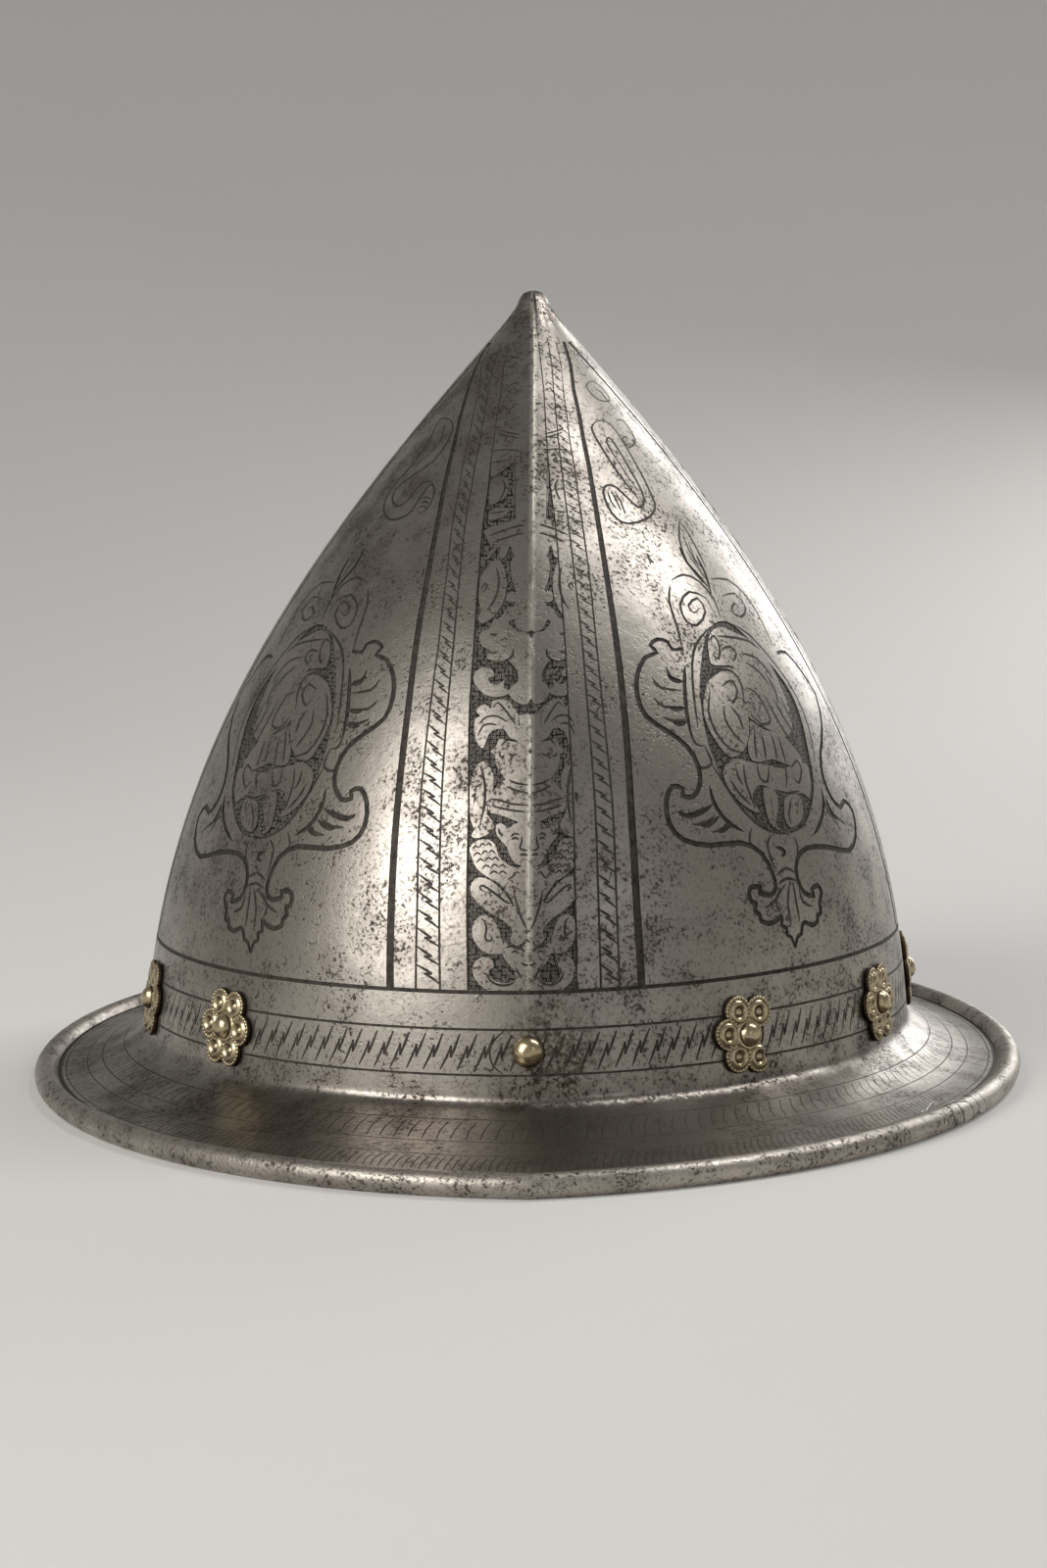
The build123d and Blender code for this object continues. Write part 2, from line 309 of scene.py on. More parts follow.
# Etched drawing
# The ornament is bitten into the plate with acid: dark lines, and around the figures a stippled dark
# ground that leaves them bright. It is drawn here as areas of (turn, rise), each of one kind.
PLAIN, GROUND, FINE, LINE = 0, 1, 2, 3
cuts = []                    # triangles of every cut line
cut_kinds = []               # FINE for a scratch too thin to show its depth, LINE for a broad cut
deep_width = 0.8             # a cut this wide is sunk into the plate
stroke_steps = 2             # short stretches to each gap between two points of a line
region_steps = 3             # and to each gap between two points of an outline
level_step = 2.5             # degrees of turn to each stretch of a line round the helmet
regions = []                 # (outline, kind) of every plain or stippled area, in the order they are laid
sheet_left = -161.25         # turn where the drawing sheet is joined, in a plain part of the plate
sheet_right = sheet_left + 360
join_gap = 0.04              # cuts stop this far from the join, a hair's width


def scale_at(points):
    """Millimetres per degree of turn and per unit of rise at points."""
    _, across, upwards = on_plate(points[:, 0], points[:, 1])
    return np.stack([np.linalg.norm(across, axis=1), np.linalg.norm(upwards, axis=1)], 1)


def smooth(points, steps, closed=False):
    """A flowing curve through given points."""
    p = np.array(points, float)
    if len(p) < 3:
        return p
    if closed:
        p = np.vstack([p[-1:], p, p[:2]])
    else:
        p = np.vstack([2 * p[0] - p[1], p, 2 * p[-1] - p[-2]])
    share = np.arange(steps)[:, None] / steps
    out = []
    for a, b, c, d in zip(p, p[1:], p[2:], p[3:]):
        out.append(
            b + (c - a) * share / 2 + (2 * a - 5 * b + 4 * c - d) * share**2 / 2
            + (3 * b - a - 3 * c + d) * share**3 / 2
        )
    if not closed:
        out.append(p[-2:-1])
    return np.vstack(out)


def add_cut(kind, *corners):
    """One triangle of a cut line, put in counter-clockwise order and parted where the sheet is joined."""
    turns = [turn for turn, _ in corners]
    shift = 360 if min(turns) > sheet_right - join_gap else 0
    low, high = sheet_left + join_gap, sheet_right - join_gap
    (ax, ay), (bx, by), (cx, cy) = [(min(max(t - shift, low), high), rise) for t, rise in corners]
    turned = (bx - ax) * (cy - ay) - (cx - ax) * (by - ay)
    if abs(turned) > 1e-5:
        cuts.append(((ax, ay), (bx, by), (cx, cy)) if turned > 0 else ((cx, cy), (bx, by), (ax, ay)))
        cut_kinds.append(kind)
    if shift == 0 and max(turns) > high:
        add_cut(kind, *[(max(t - 360, low), rise) for t, rise in corners])


def add_region(points, kind, curve=True):
    """One closed area of plain steel or of stippled ground."""
    outline = smooth(points, region_steps, True) if curve else np.array(points, float)
    if outline[:, 0].mean() > sheet_right:
        outline = outline - (360.0, 0.0)
    regions.append((outline, kind))


def stroke(points, width, taper=0.35, curve=True):
    """A cut line along points, thinner towards its ends by the taper."""
    p = smooth(points, stroke_steps) if curve else np.array(points, float)
    scale = scale_at(p)
    way = np.gradient(p, axis=0) * scale
    way /= np.maximum(np.linalg.norm(way, axis=1), 1e-9)[:, None]
    share = np.linspace(0, 1, len(p))
    thick = width / 2 * (taper + (1 - taper) * np.minimum(1, 5 * np.minimum(share, 1 - share)))
    side = np.stack([-way[:, 1], way[:, 0]], 1) * thick[:, None] / scale
    left, right = p + side, p - side
    kind = LINE if width >= deep_width else FINE
    for n in range(len(p) - 1):
        add_cut(kind, tuple(right[n]), tuple(right[n + 1]), tuple(left[n + 1]))
        add_cut(kind, tuple(right[n]), tuple(left[n + 1]), tuple(left[n]))


def level_line(rise, width):
    """A line round the helmet at one height, that ends exactly at the sheet's two sides."""
    count = round(360 / level_step)
    turns = np.linspace(sheet_left, sheet_right, count + 1)
    mid = np.full(len(turns), float(rise))
    half = width / 2 / scale_at(np.stack([turns, mid], 1))[:, 1]
    kind = LINE if width >= deep_width else FINE
    for n in range(count):
        low, next_low = (turns[n], rise - half[n]), (turns[n + 1], rise - half[n + 1])
        high, next_high = (turns[n], rise + half[n]), (turns[n + 1], rise + half[n + 1])
        add_cut(kind, low, next_low, next_high)
        add_cut(kind, low, next_high, high)


def brim_rise(share):
    """The rise of a line that keeps one share of the brim's width, counted from the flare."""
    steps = np.linspace(0, 1, 201)
    spread = 3 * steps * (1 - steps)**2 * brim_spread_shares[1]
    spread += 3 * steps**2 * (1 - steps) * brim_spread_shares[2] + steps**3
    return brim_foot + brim_run * float(np.interp(1 - share, spread, steps))


# Lines round the base and the brim
# Three lines close off the skull's foot, the lowest two with a band of slanted hooks between them, and
# four lines and a worn groove run round the brim with slanted strokes between.
base_top_line = 35.0
base_middle_line = 26.8
base_foot_line = 16.7
brim_line_shares = (0.105, 0.398, 0.602, 0.884)
brim_line_width = 0.35
hook_gap = 4.0
hook_width = 0.72
hook_slant = 4.4
hook_clearance = 1.0
worn_groove_share = 0.965
worn_groove_width = 1.1
base_lines = ((base_top_line, 0.9), (base_middle_line, 0.55), (base_foot_line, 0.5))
for rise, width in base_lines:
    level_line(rise, width)
for share in brim_line_shares:
    level_line(brim_rise(share), brim_line_width)
level_line(brim_rise(worn_groove_share), worn_groove_width)


def turns_round(rise, gap, left, right):
    """Turns that are evenly spaced in millimetres along one height."""
    fine = np.linspace(left, right, 721)
    speed = scale_at(np.stack([fine, np.full(len(fine), float(rise))], 1))[:, 0]
    run = np.concatenate([[0], np.cumsum((speed[1:] + speed[:-1]) / 2 * np.diff(fine))])
    count = max(1, round(run[-1] / gap))
    return np.interp(np.linspace(0, run[-1], count + 1), run, fine)


def hook(spot, width):
    """One hook of a cable: a slanted cut that doubles back, broad, half way across. The spot gives the
    place that is a share of the way along the slant and a share of the way across the cable."""
    jog = random.uniform(-0.05, 0.05)
    stroke([spot(0.0, 0.0), spot(0.3 + jog, 0.35), spot(0.5 + jog, 0.66)], width * 0.88, 0.5, False)
    stroke([spot(0.5 + jog, 0.68), spot(0.53 + jog, 0.34)], width * 1.1, 0.8, False)
    stroke([spot(0.53 + jog, 0.34), spot(0.72 + jog, 0.62), spot(1.0, 1.0)], width * 0.95, 0.5, False)


def base_cable():
    """The hooks between the lowest two lines of the base."""
    low, high = base_foot_line + hook_clearance, base_middle_line - hook_clearance
    for turn in turns_round(low, hook_gap, sheet_left + 4, sheet_right - 4):
        lean = hook_slant / scale_at(np.array([[turn, low]]))[0, 0]

        def spot(along, across):
            return turn + lean * (along - 0.5), low + (high - low) * across

        hook(spot, hook_width)


base_cable()
brim_stroke_width = 0.4
brim_strips = (              # inner and outer line, gap and slant of the strokes between them
    (brim_line_shares[0], brim_line_shares[1], 3.3, 1.5),
    (brim_line_shares[2], brim_line_shares[3], 1.9, 1.2),
)
for inner_share, outer_share, gap, slant in brim_strips:
    high = brim_rise(inner_share + 0.03)
    low = brim_rise(outer_share - 0.03)
    for turn in turns_round((low + high) / 2, gap, sheet_left + 2, sheet_right - 2):
        lean = slant / scale_at(np.array([[turn, high]]))[0, 0]
        jog = random.uniform(-0.12, 0.12) * lean
        middle = (turn - lean * 0.35, (low + high) / 2)
        stroke([
            (turn - lean * 0.6 + jog, low), middle, (turn + lean * 0.6, high),
        ], brim_stroke_width, taper=0.7, curve=False)


# Upright borders of the four sides
# On each side of a keel stand three lines and a heavy band, read off the photograph at the front: the
# edge of the figured strip, the two edges of a cable of hooks, and the outer band. The rear repeats
# them, and the flanks have the same strip, narrower.
photo_sheet = (0, 0, 1)      # left and top edge and scale of a stretch of the photograph
left_strip_line = [
    (477.6, 1010), (476.4, 918), (478.3, 826), (479.3, 717), (484.1, 652), (488.4, 587), (492.8, 532),
    (498.2, 498), (505.1, 441), (512.0, 395), (520.0, 349), (525.1, 326),
]
left_cable_inner = [
    (448.9, 1010), (448.2, 918), (450.0, 826), (457.0, 717), (463.5, 652), (469.3, 587), (474.8, 532),
    (481.0, 498), (491.8, 441), (499.4, 395), (512.0, 349), (518.9, 326),
]
left_cable_outer = [
    (424.1, 1010), (425.9, 918), (428.2, 826), (439.6, 717), (448.3, 652), (455.9, 587), (462.0, 532),
    (468.4, 498), (479.9, 441), (490.2, 395), (501.7, 349), (512.0, 326),
]
left_heavy_band = [
    (397.9, 1010), (399.5, 918), (409.8, 780), (417.3, 717), (425.5, 652), (436.8, 587), (447.2, 532),
    (453.0, 498), (463.8, 454), (471.8, 418), (482.2, 386), (497.1, 353), (507.0, 330),
]
right_strip_line = [
    (589.4, 1009), (586.6, 918), (585.0, 826), (579.5, 717), (576.2, 652), (570.8, 587), (566.5, 532),
    (561.4, 498), (556.8, 441), (554.5, 395), (549.4, 349), (545.3, 322),
]
right_cable_inner = [
    (613.0, 1007), (610.3, 918), (607.3, 826), (599.0, 717), (593.6, 652), (586.0, 587), (579.5, 532),
    (575.2, 498), (568.3, 441), (564.4, 395), (559.1, 349), (554.9, 323),
]
right_cable_outer = [
    (631.9, 1005), (628.6, 918), (625.2, 826), (614.2, 717), (607.7, 652), (601.2, 587), (593.6, 532),
    (588.9, 498), (579.7, 441), (574.0, 395), (567.1, 349), (561.4, 323),
]
right_heavy_band = [
    (654.4, 1003), (649.0, 918), (643.6, 826), (635.9, 717), (628.3, 652), (618.5, 587), (609.8, 532),
    (604.5, 498), (593.5, 441), (584.5, 395), (575.0, 349), (568.3, 326),
]
strip_line_width = 0.5
cable_line_width = 0.55
cable_hook_width = 0.72
heavy_band_width = 1.9
cable_gap = 4.1
cable_slant = 4.0
cable_foot = 36.6
cable_top = 176.0
cable_closing = 0.45         # how much smaller the cable's hooks are at its top
border_rises = (40, 110, 180)
border_widths = (1.0, 0.85, 0.5)         # shares of a line's width at those rises
flank_narrowing = 0.55


def at_rise(line, rise):
    """The turn of an upright line at a rise."""
    order = np.argsort(line[:, 1])
    return np.interp(rise, line[order, 1], line[order, 0])


def upright(line, width, change):
    """An upright line from the base line up towards the tip, thinner as it climbs."""
    rises = np.linspace(base_top_line + 0.2, cable_top + 3, 26)
    line = np.stack([at_rise(line, rises), rises], 1)
    narrow = np.interp(rises, border_rises, border_widths)
    for n in range(len(rises) - 1):
        stroke(change(line[n:n + 2]), width * narrow[n], taper=1, curve=False)


def cable(left, right, change):
    """A cable of hooks between two upright lines, closer and smaller as it climbs."""
    rise = cable_foot
    while rise < cable_top:
        room = 1 - cable_closing * (rise - cable_foot) / (cable_top - cable_foot)
        low, high = at_rise(left, rise), at_rise(right, rise)

        def spot(along, across):
            return change([(high + (low - high) * across, rise + cable_slant * room * along)])[0]

        hook(spot, cable_hook_width * room)
        rise += cable_gap * room


def as_read(points):
    """The place where a drawing was read off: the front."""
    return np.array(points, float)


def at_rear(points):
    """The same drawing on the rear."""
    return np.array(points, float) + (180.0, 0.0)


def at_right_flank(points):
    """The same drawing on the flank at the viewer's right, narrower."""
    return np.array(points, float) * (flank_narrowing, 1.0) + (90.0, 0.0)


def at_left_flank(points):
    """The same drawing on the other flank."""
    return at_right_flank(points) - (180.0, 0.0)


four_sides = (as_read, at_rear, at_right_flank, at_left_flank)
borders_read = [read_off(line, photo_sheet) for line in (
    left_strip_line, left_cable_inner, left_cable_outer, left_heavy_band,
    right_strip_line, right_cable_inner, right_cable_outer, right_heavy_band,
)]
strip_left, cable_left_inner, cable_left_outer, heavy_left = borders_read[:4]
strip_right, cable_right_inner, cable_right_outer, heavy_right = borders_read[4:]
for change in four_sides:
    for line in (strip_left, strip_right):
        upright(line, strip_line_width, change)
    for line in (cable_left_inner, cable_left_outer, cable_right_inner, cable_right_outer):
        upright(line, cable_line_width, change)
    for line in (heavy_left, heavy_right):
        upright(line, heavy_band_width, change)
    cable(cable_left_outer, cable_left_inner, change)
    cable(cable_right_inner, cable_right_outer, change)

# Figured strip
# Between the borders a strip of grotesques runs up the keel, left bright on a stippled ground: from the
# foot a mask on scrolls, a winged and horned head, a draped trunk between shields, leaves, dolphins,
# a capital and two leafy panels. The left half is read off, and the right half mirrors it.
top_sheet = (380, 280, 4.3556)
middle_sheet = (380, 500, 4.6118)
low_sheet = (380, 780, 4.3556)
ground_top = 150.5
keel_marks = {top_sheet: 657, middle_sheet: 712, low_sheet: 694}     # how far right the keel is read
right_half_share = 0.82
strip_line_share = 1.25

strip_plain = [
    # capital with its two mouldings and hanging lappets
    (middle_sheet, [(530, 188), (610, 160), (690, 132), (712, 134), (712, 318), (672, 316), (648, 262),
     (622, 318), (596, 312), (600, 268), (566, 300), (548, 322), (540, 312), (556, 268), (536, 222)]),
    # shield beside the stem
    (middle_sheet, [(560, 338), (596, 330), (620, 370), (632, 440), (618, 520), (575, 590), (524, 626),
     (496, 612), (506, 575), (500, 510), (504, 440), (520, 385), (548, 362)]),
    # stem up the keel
    (middle_sheet, [(660, 320), (712, 320), (712, 560), (664, 540), (628, 520), (640, 478), (676, 478),
     (652, 400)]),
    # dolphin
    (middle_sheet, [(642, 552), (712, 548), (712, 660), (688, 656), (664, 616), (640, 626), (676, 664),
     (712, 700), (712, 980), (680, 1000), (640, 944), (684, 900), (680, 850), (652, 812), (640, 800),
     (664, 745), (640, 790), (600, 806), (545, 796), (540, 776), (556, 756), (518, 736), (502, 700),
     (512, 668), (552, 650), (566, 616), (606, 596)]),
    # curling tail
    (middle_sheet, [(490, 850), (530, 832), (562, 846), (574, 876), (548, 882), (552, 908), (590, 916),
     (622, 892), (618, 930), (650, 946), (620, 968), (556, 972), (508, 946), (478, 905), (478, 872)]),
    # leaves
    (middle_sheet, [(500, 1022), (530, 1008), (556, 1030), (566, 992), (620, 988), (664, 1016),
     (688, 1060), (712, 1060), (712, 1180), (684, 1190), (650, 1170), (622, 1130), (586, 1124),
     (548, 1148), (520, 1214), (494, 1190), (480, 1140), (482, 1080), (506, 1064), (490, 1044)]),
    # trunk
    (middle_sheet, [(580, 1210), (596, 1172), (640, 1180), (690, 1190), (712, 1190), (712, 1384),
     (660, 1384), (610, 1340), (582, 1290), (576, 1250), (556, 1230)]),
    (low_sheet, [(566, 86), (600, 62), (628, 50), (600, 10), (694, 0), (694, 268), (640, 252), (585, 230),
     (520, 212), (512, 165), (528, 130)]),
    # hanging shield
    (low_sheet, [(462, 10), (484, -14), (516, 4), (538, 60), (532, 120), (512, 170), (510, 220),
     (540, 268), (512, 310), (460, 328), (438, 312), (452, 290), (432, 230), (430, 120), (442, 60)]),
    # horned head
    (low_sheet, [(548, 276), (568, 262), (588, 272), (600, 286), (640, 262), (694, 268), (694, 470),
     (660, 450), (636, 440), (612, 410), (596, 366), (576, 345), (552, 312)]),
    # wing
    (low_sheet, [(432, 372), (462, 340), (510, 334), (544, 356), (562, 410), (594, 440), (640, 462),
     (694, 470), (694, 800), (672, 770), (660, 700), (630, 640), (596, 566), (556, 524), (510, 500),
     (462, 460), (440, 410)]),
    # long scroll
    (low_sheet, [(440, 530), (470, 502), (520, 514), (566, 552), (612, 610), (652, 680), (680, 736),
     (676, 782), (640, 806), (612, 780), (622, 736), (576, 690), (506, 650), (454, 600), (436, 566)]),
    # small scroll
    (low_sheet, [(452, 700), (486, 670), (532, 684), (560, 730), (578, 790), (590, 836), (556, 842),
     (504, 838), (456, 792), (442, 742)]),
    # mask
    (low_sheet, [(586, 790), (606, 806), (650, 826), (694, 790), (694, 956), (660, 938), (616, 900),
     (580, 850)]),
    # scroll at the foot
    (low_sheet, [(454, 880), (490, 856), (530, 868), (538, 900), (516, 916), (534, 956), (590, 972),
     (636, 956), (634, 922), (668, 944), (694, 946), (694, 1000), (620, 1012), (530, 1010), (474, 978),
     (446, 930)]),
    # leafy panels and their stem
    (top_sheet, [(636, 796), (657, 796), (657, 1084), (636, 1080)]),
    (top_sheet, [(534, 832), (580, 816), (614, 818), (612, 846), (580, 872), (530, 902), (526, 860)]),
    (top_sheet, [(526, 916), (566, 898), (602, 912), (606, 950), (590, 990), (556, 1012), (522, 1022),
     (520, 960)]),
    (top_sheet, [(522, 1052), (560, 1036), (602, 1046), (596, 1068), (556, 1086), (518, 1090)]),
]

strip_lines = [
    # mouldings of the capital
    (middle_sheet, 0.5, [
        [(548, 216), (610, 192), (690, 168), (712, 166)],
        [(562, 250), (620, 228), (690, 206), (712, 204)],
    ]),
    # shield
    (middle_sheet, 0.5, [[(582, 366), (594, 410), (590, 470), (570, 525), (538, 566)]]),
    (middle_sheet, 0.4, [
        [(512, 470), (528, 440), (540, 456), (518, 478)], [(624, 520), (650, 534), (680, 530)],
    ]),
    # dolphin: eye, jaw and fin
    (middle_sheet, 0.55, [[(554, 676), (572, 682), (588, 676)]]),
    (middle_sheet, 0.4, [[(548, 760), (566, 768), (590, 758)]]),
    (middle_sheet, 0.5, [[(636, 802), (656, 784), (664, 748)]]),
    (middle_sheet, 0.45, [[(644, 812), (668, 840), (676, 870), (652, 900), (630, 884), (640, 876)]]),
    # veins of the leaves
    (middle_sheet, 0.4, [
        [(570, 1020), (590, 1000), (620, 1030), (650, 1070), (672, 1104)],
        [(500, 1100), (540, 1066), (590, 1066), (632, 1092)],
        [(494, 1160), (520, 1110), (560, 1100), (584, 1108)], [(688, 1066), (690, 1110)],
    ]),
    # drapery over the chest
    (middle_sheet, 0.4, [
        [(604, 1206), (630, 1178), (660, 1176), (684, 1186)],
        [(596, 1236), (604, 1256), (622, 1248)], [(640, 1236), (654, 1252), (682, 1240)],
    ]),
    (low_sheet, 0.42, [[(604, 68), (640, 84), (694, 92)], [(596, 98), (640, 116), (694, 128)]]),
    (low_sheet, 0.45, [[(522, 154), (560, 158), (620, 176), (694, 182)]]),
    (low_sheet, 0.42, [[(532, 186), (570, 194), (630, 206), (680, 210)]]),
    (low_sheet, 0.4, [[(540, 178), (548, 196)]]),
    # hanging shield
    (low_sheet, 0.5, [[(478, 6), (492, 50), (500, 110), (496, 190), (476, 270)]]),
    (low_sheet, 0.4, [[(440, 150), (456, 128), (450, 176)]]),
    # face: brow, eye, nose and mouth, as plain as a carved grotesque
    (low_sheet, 0.45, [[(614, 322), (630, 308), (652, 312)]]),
    (low_sheet, 0.5, [[(618, 334), (634, 326), (650, 334)]]),
    (low_sheet, 0.4, [[(664, 318), (662, 350), (654, 370), (672, 382), (690, 380)]]),
    (low_sheet, 0.5, [[(654, 404), (668, 400), (690, 404)]]),
    (low_sheet, 0.4, [[(664, 422), (690, 424)], [(560, 284), (566, 306), (580, 316)]]),
    # feathers
    (low_sheet, 0.36, [
        [(446, 382), (456, 362), (474, 372)], [(474, 372), (486, 352), (504, 362)],
        [(504, 362), (518, 350), (530, 366)], [(448, 410), (464, 392), (484, 404)],
        [(484, 404), (498, 384), (516, 394)], [(516, 394), (530, 382), (546, 398)],
        [(462, 438), (478, 420), (498, 432)], [(498, 432), (514, 414), (532, 426)],
        [(532, 426), (546, 412), (562, 430)], [(486, 466), (504, 448), (524, 460)],
        [(524, 460), (542, 444), (562, 458)], [(562, 458), (576, 446), (594, 460)],
        [(520, 490), (540, 474), (560, 488)], [(560, 488), (578, 474), (598, 490)],
        [(600, 510), (622, 500), (640, 478), (656, 486)],
    ]),
    # long scroll
    (low_sheet, 0.42, [
        [(500, 568), (478, 552), (484, 538), (514, 552), (562, 588), (600, 616), (622, 612)],
        [(596, 566), (610, 596), (622, 612)], [(626, 560), (640, 620), (664, 690), (688, 734)],
    ]),
    # small scroll
    (low_sheet, 0.42, [
        [(482, 684), (500, 700), (506, 738), (500, 768), (514, 786), (530, 776), (524, 760)],
    ]),
    # mask: brows, eye and mouth
    (low_sheet, 0.42, [
        [(592, 814), (620, 808), (660, 818), (676, 836)], [(616, 838), (634, 830), (652, 840)],
    ]),
    (low_sheet, 0.45, [[(660, 880), (676, 892), (692, 892)]]),
    (low_sheet, 0.4, [[(634, 900), (650, 930), (664, 952)]]),
    # scroll at the foot
    (low_sheet, 0.42, [[(504, 924), (524, 962), (566, 982), (612, 978), (634, 962)]]),
    # panels
    (top_sheet, 0.4, [
        [(522, 788), (590, 778), (657, 786)], [(556, 690), (600, 702), (657, 712)],
        [(552, 704), (600, 718), (657, 728)], [(530, 836), (574, 832), (606, 822)],
        [(574, 912), (590, 940), (578, 980), (560, 1006)], [(522, 1062), (560, 1058), (590, 1052)],
        [(634, 800), (634, 1078)],
    ]),
    # leaf strokes towards the tip
    (top_sheet, 0.36, [[(562, 612), (574, 584), (604, 604), (640, 570)]]),
    (top_sheet, 0.34, [
        [(594, 540), (624, 506), (646, 520)], [(602, 500), (634, 482), (650, 494)],
        [(590, 414), (622, 408), (644, 390)],
    ]),
    (top_sheet, 0.32, [[(612, 380), (632, 366), (652, 372)]]),
    (top_sheet, 0.3, [[(620, 320), (640, 302), (656, 308)], [(628, 262), (644, 250), (658, 256)]]),
]


def other_half(points):
    """The right half of the strip mirrors the left about the keel, a little narrower."""
    return np.array(points, float) * (-right_half_share, 1.0)


def read_half(points, sheet):
    """A form of the left half on the plate, with what lies on the keel set exactly there."""
    half = read_off(points, sheet)
    half[[x >= keel_marks[sheet] for x, _ in points], 0] = 0
    return half


forms_read = [read_half(points, sheet) for sheet, points in strip_plain]
lines_read = [
    (width, read_off(points, sheet)) for sheet, width, lines in strip_lines for points in lines
]


def lay_strip(change):
    """The strip's ground, its bright forms and their lines."""
    rises = np.linspace(base_top_line + 0.5, ground_top, 30)
    left = np.stack([at_rise(strip_left, rises), rises], 1)
    right = np.stack([at_rise(strip_right, rises), rises], 1)
    add_region(change(np.vstack([left, right[::-1]])), GROUND, curve=False)
    for half in forms_read:
        add_region(change(half), PLAIN)
        add_region(change(other_half(half)), PLAIN)
    for width, half in lines_read:
        width = width * strip_line_share
        stroke(change(half), width)
        stroke(change(other_half(half)), width)


for change in four_sides:
    lay_strip(change)

# Cartouches
# Between the strips hang four cartouches: an oval with a helmeted warrior and a round shield, on
# stippled ground, in a frame of heavy scrolled strapwork that ends below in a palmette. The front right
# one is read off the photograph, and the others mirror and repeat it.
cartouche_sheet = (630, 560, 3.7333)
cartouche_ground = [
    (350, 300), (326, 370), (312, 500), (320, 620), (345, 740), (385, 850), (430, 930), (490, 1000),
    (560, 1060), (640, 1085), (705, 1060), (738, 980), (746, 890), (730, 790), (690, 620), (640, 515),
    (560, 412), (470, 315), (405, 275),
]
cartouche_plain = [
    # helmet, shoulders and raised arm
    [(352, 425), (344, 370), (354, 320), (392, 298), (440, 316), (500, 345), (548, 392), (592, 460),
     (628, 540), (654, 612), (664, 682), (640, 716), (600, 700), (540, 670), (500, 640), (480, 600),
     (472, 520), (440, 452), (400, 444), (366, 442)],
    # round shield
    [(330, 560), (348, 500), (392, 460), (440, 456), (478, 500), (500, 560), (496, 620), (502, 690),
     (490, 750), (455, 788), (418, 788), (380, 740), (345, 680), (328, 620)],
    # trunk and cloak
    [(504, 655), (560, 690), (620, 702), (682, 770), (702, 804), (690, 832), (640, 820), (590, 802),
     (540, 812), (508, 800), (496, 750), (506, 700)],
    # skirt
    [(404, 834), (450, 800), (500, 812), (560, 822), (640, 832), (716, 818), (734, 880), (730, 946),
     (700, 930), (640, 940), (600, 922), (560, 902), (530, 906), (514, 950), (540, 1004), (500, 990),
     (450, 948), (412, 890)],
    # legs
    [(556, 912), (602, 926), (612, 980), (602, 1044), (622, 1070), (590, 1058), (566, 1000)],
    [(640, 946), (688, 936), (706, 990), (698, 1036), (662, 1062), (640, 1036), (634, 990)],
]
cartouche_heavy = [
    [(248, 380), (208, 384), (190, 355), (150, 345), (124, 368), (150, 395), (104, 415), (74, 480),
     (75, 560), (110, 640), (190, 695), (262, 750), (306, 825), (314, 890), (288, 944), (246, 940),
     (248, 914), (208, 905), (185, 960), (196, 1045), (250, 1108), (350, 1130), (470, 1120), (545, 1158),
     (588, 1232), (602, 1290), (580, 1320), (538, 1308), (546, 1290), (512, 1288), (500, 1312),
     (510, 1344), (528, 1352), (522, 1376), (542, 1396), (546, 1416), (576, 1428), (606, 1416),
     (624, 1396), (626, 1436), (644, 1444), (644, 1470), (662, 1480), (676, 1518)],
    [(676, 1518), (686, 1478), (700, 1466), (702, 1440), (712, 1422), (740, 1434), (762, 1418),
     (760, 1398), (774, 1384), (768, 1350), (776, 1312), (762, 1282), (738, 1298), (750, 1320),
     (712, 1312), (684, 1255), (682, 1185), (720, 1140), (800, 1136), (880, 1150), (906, 1090),
     (895, 1000), (862, 960), (848, 984), (815, 950), (782, 870), (772, 780), (778, 680), (755, 560),
     (700, 468), (640, 395), (606, 398)],
]
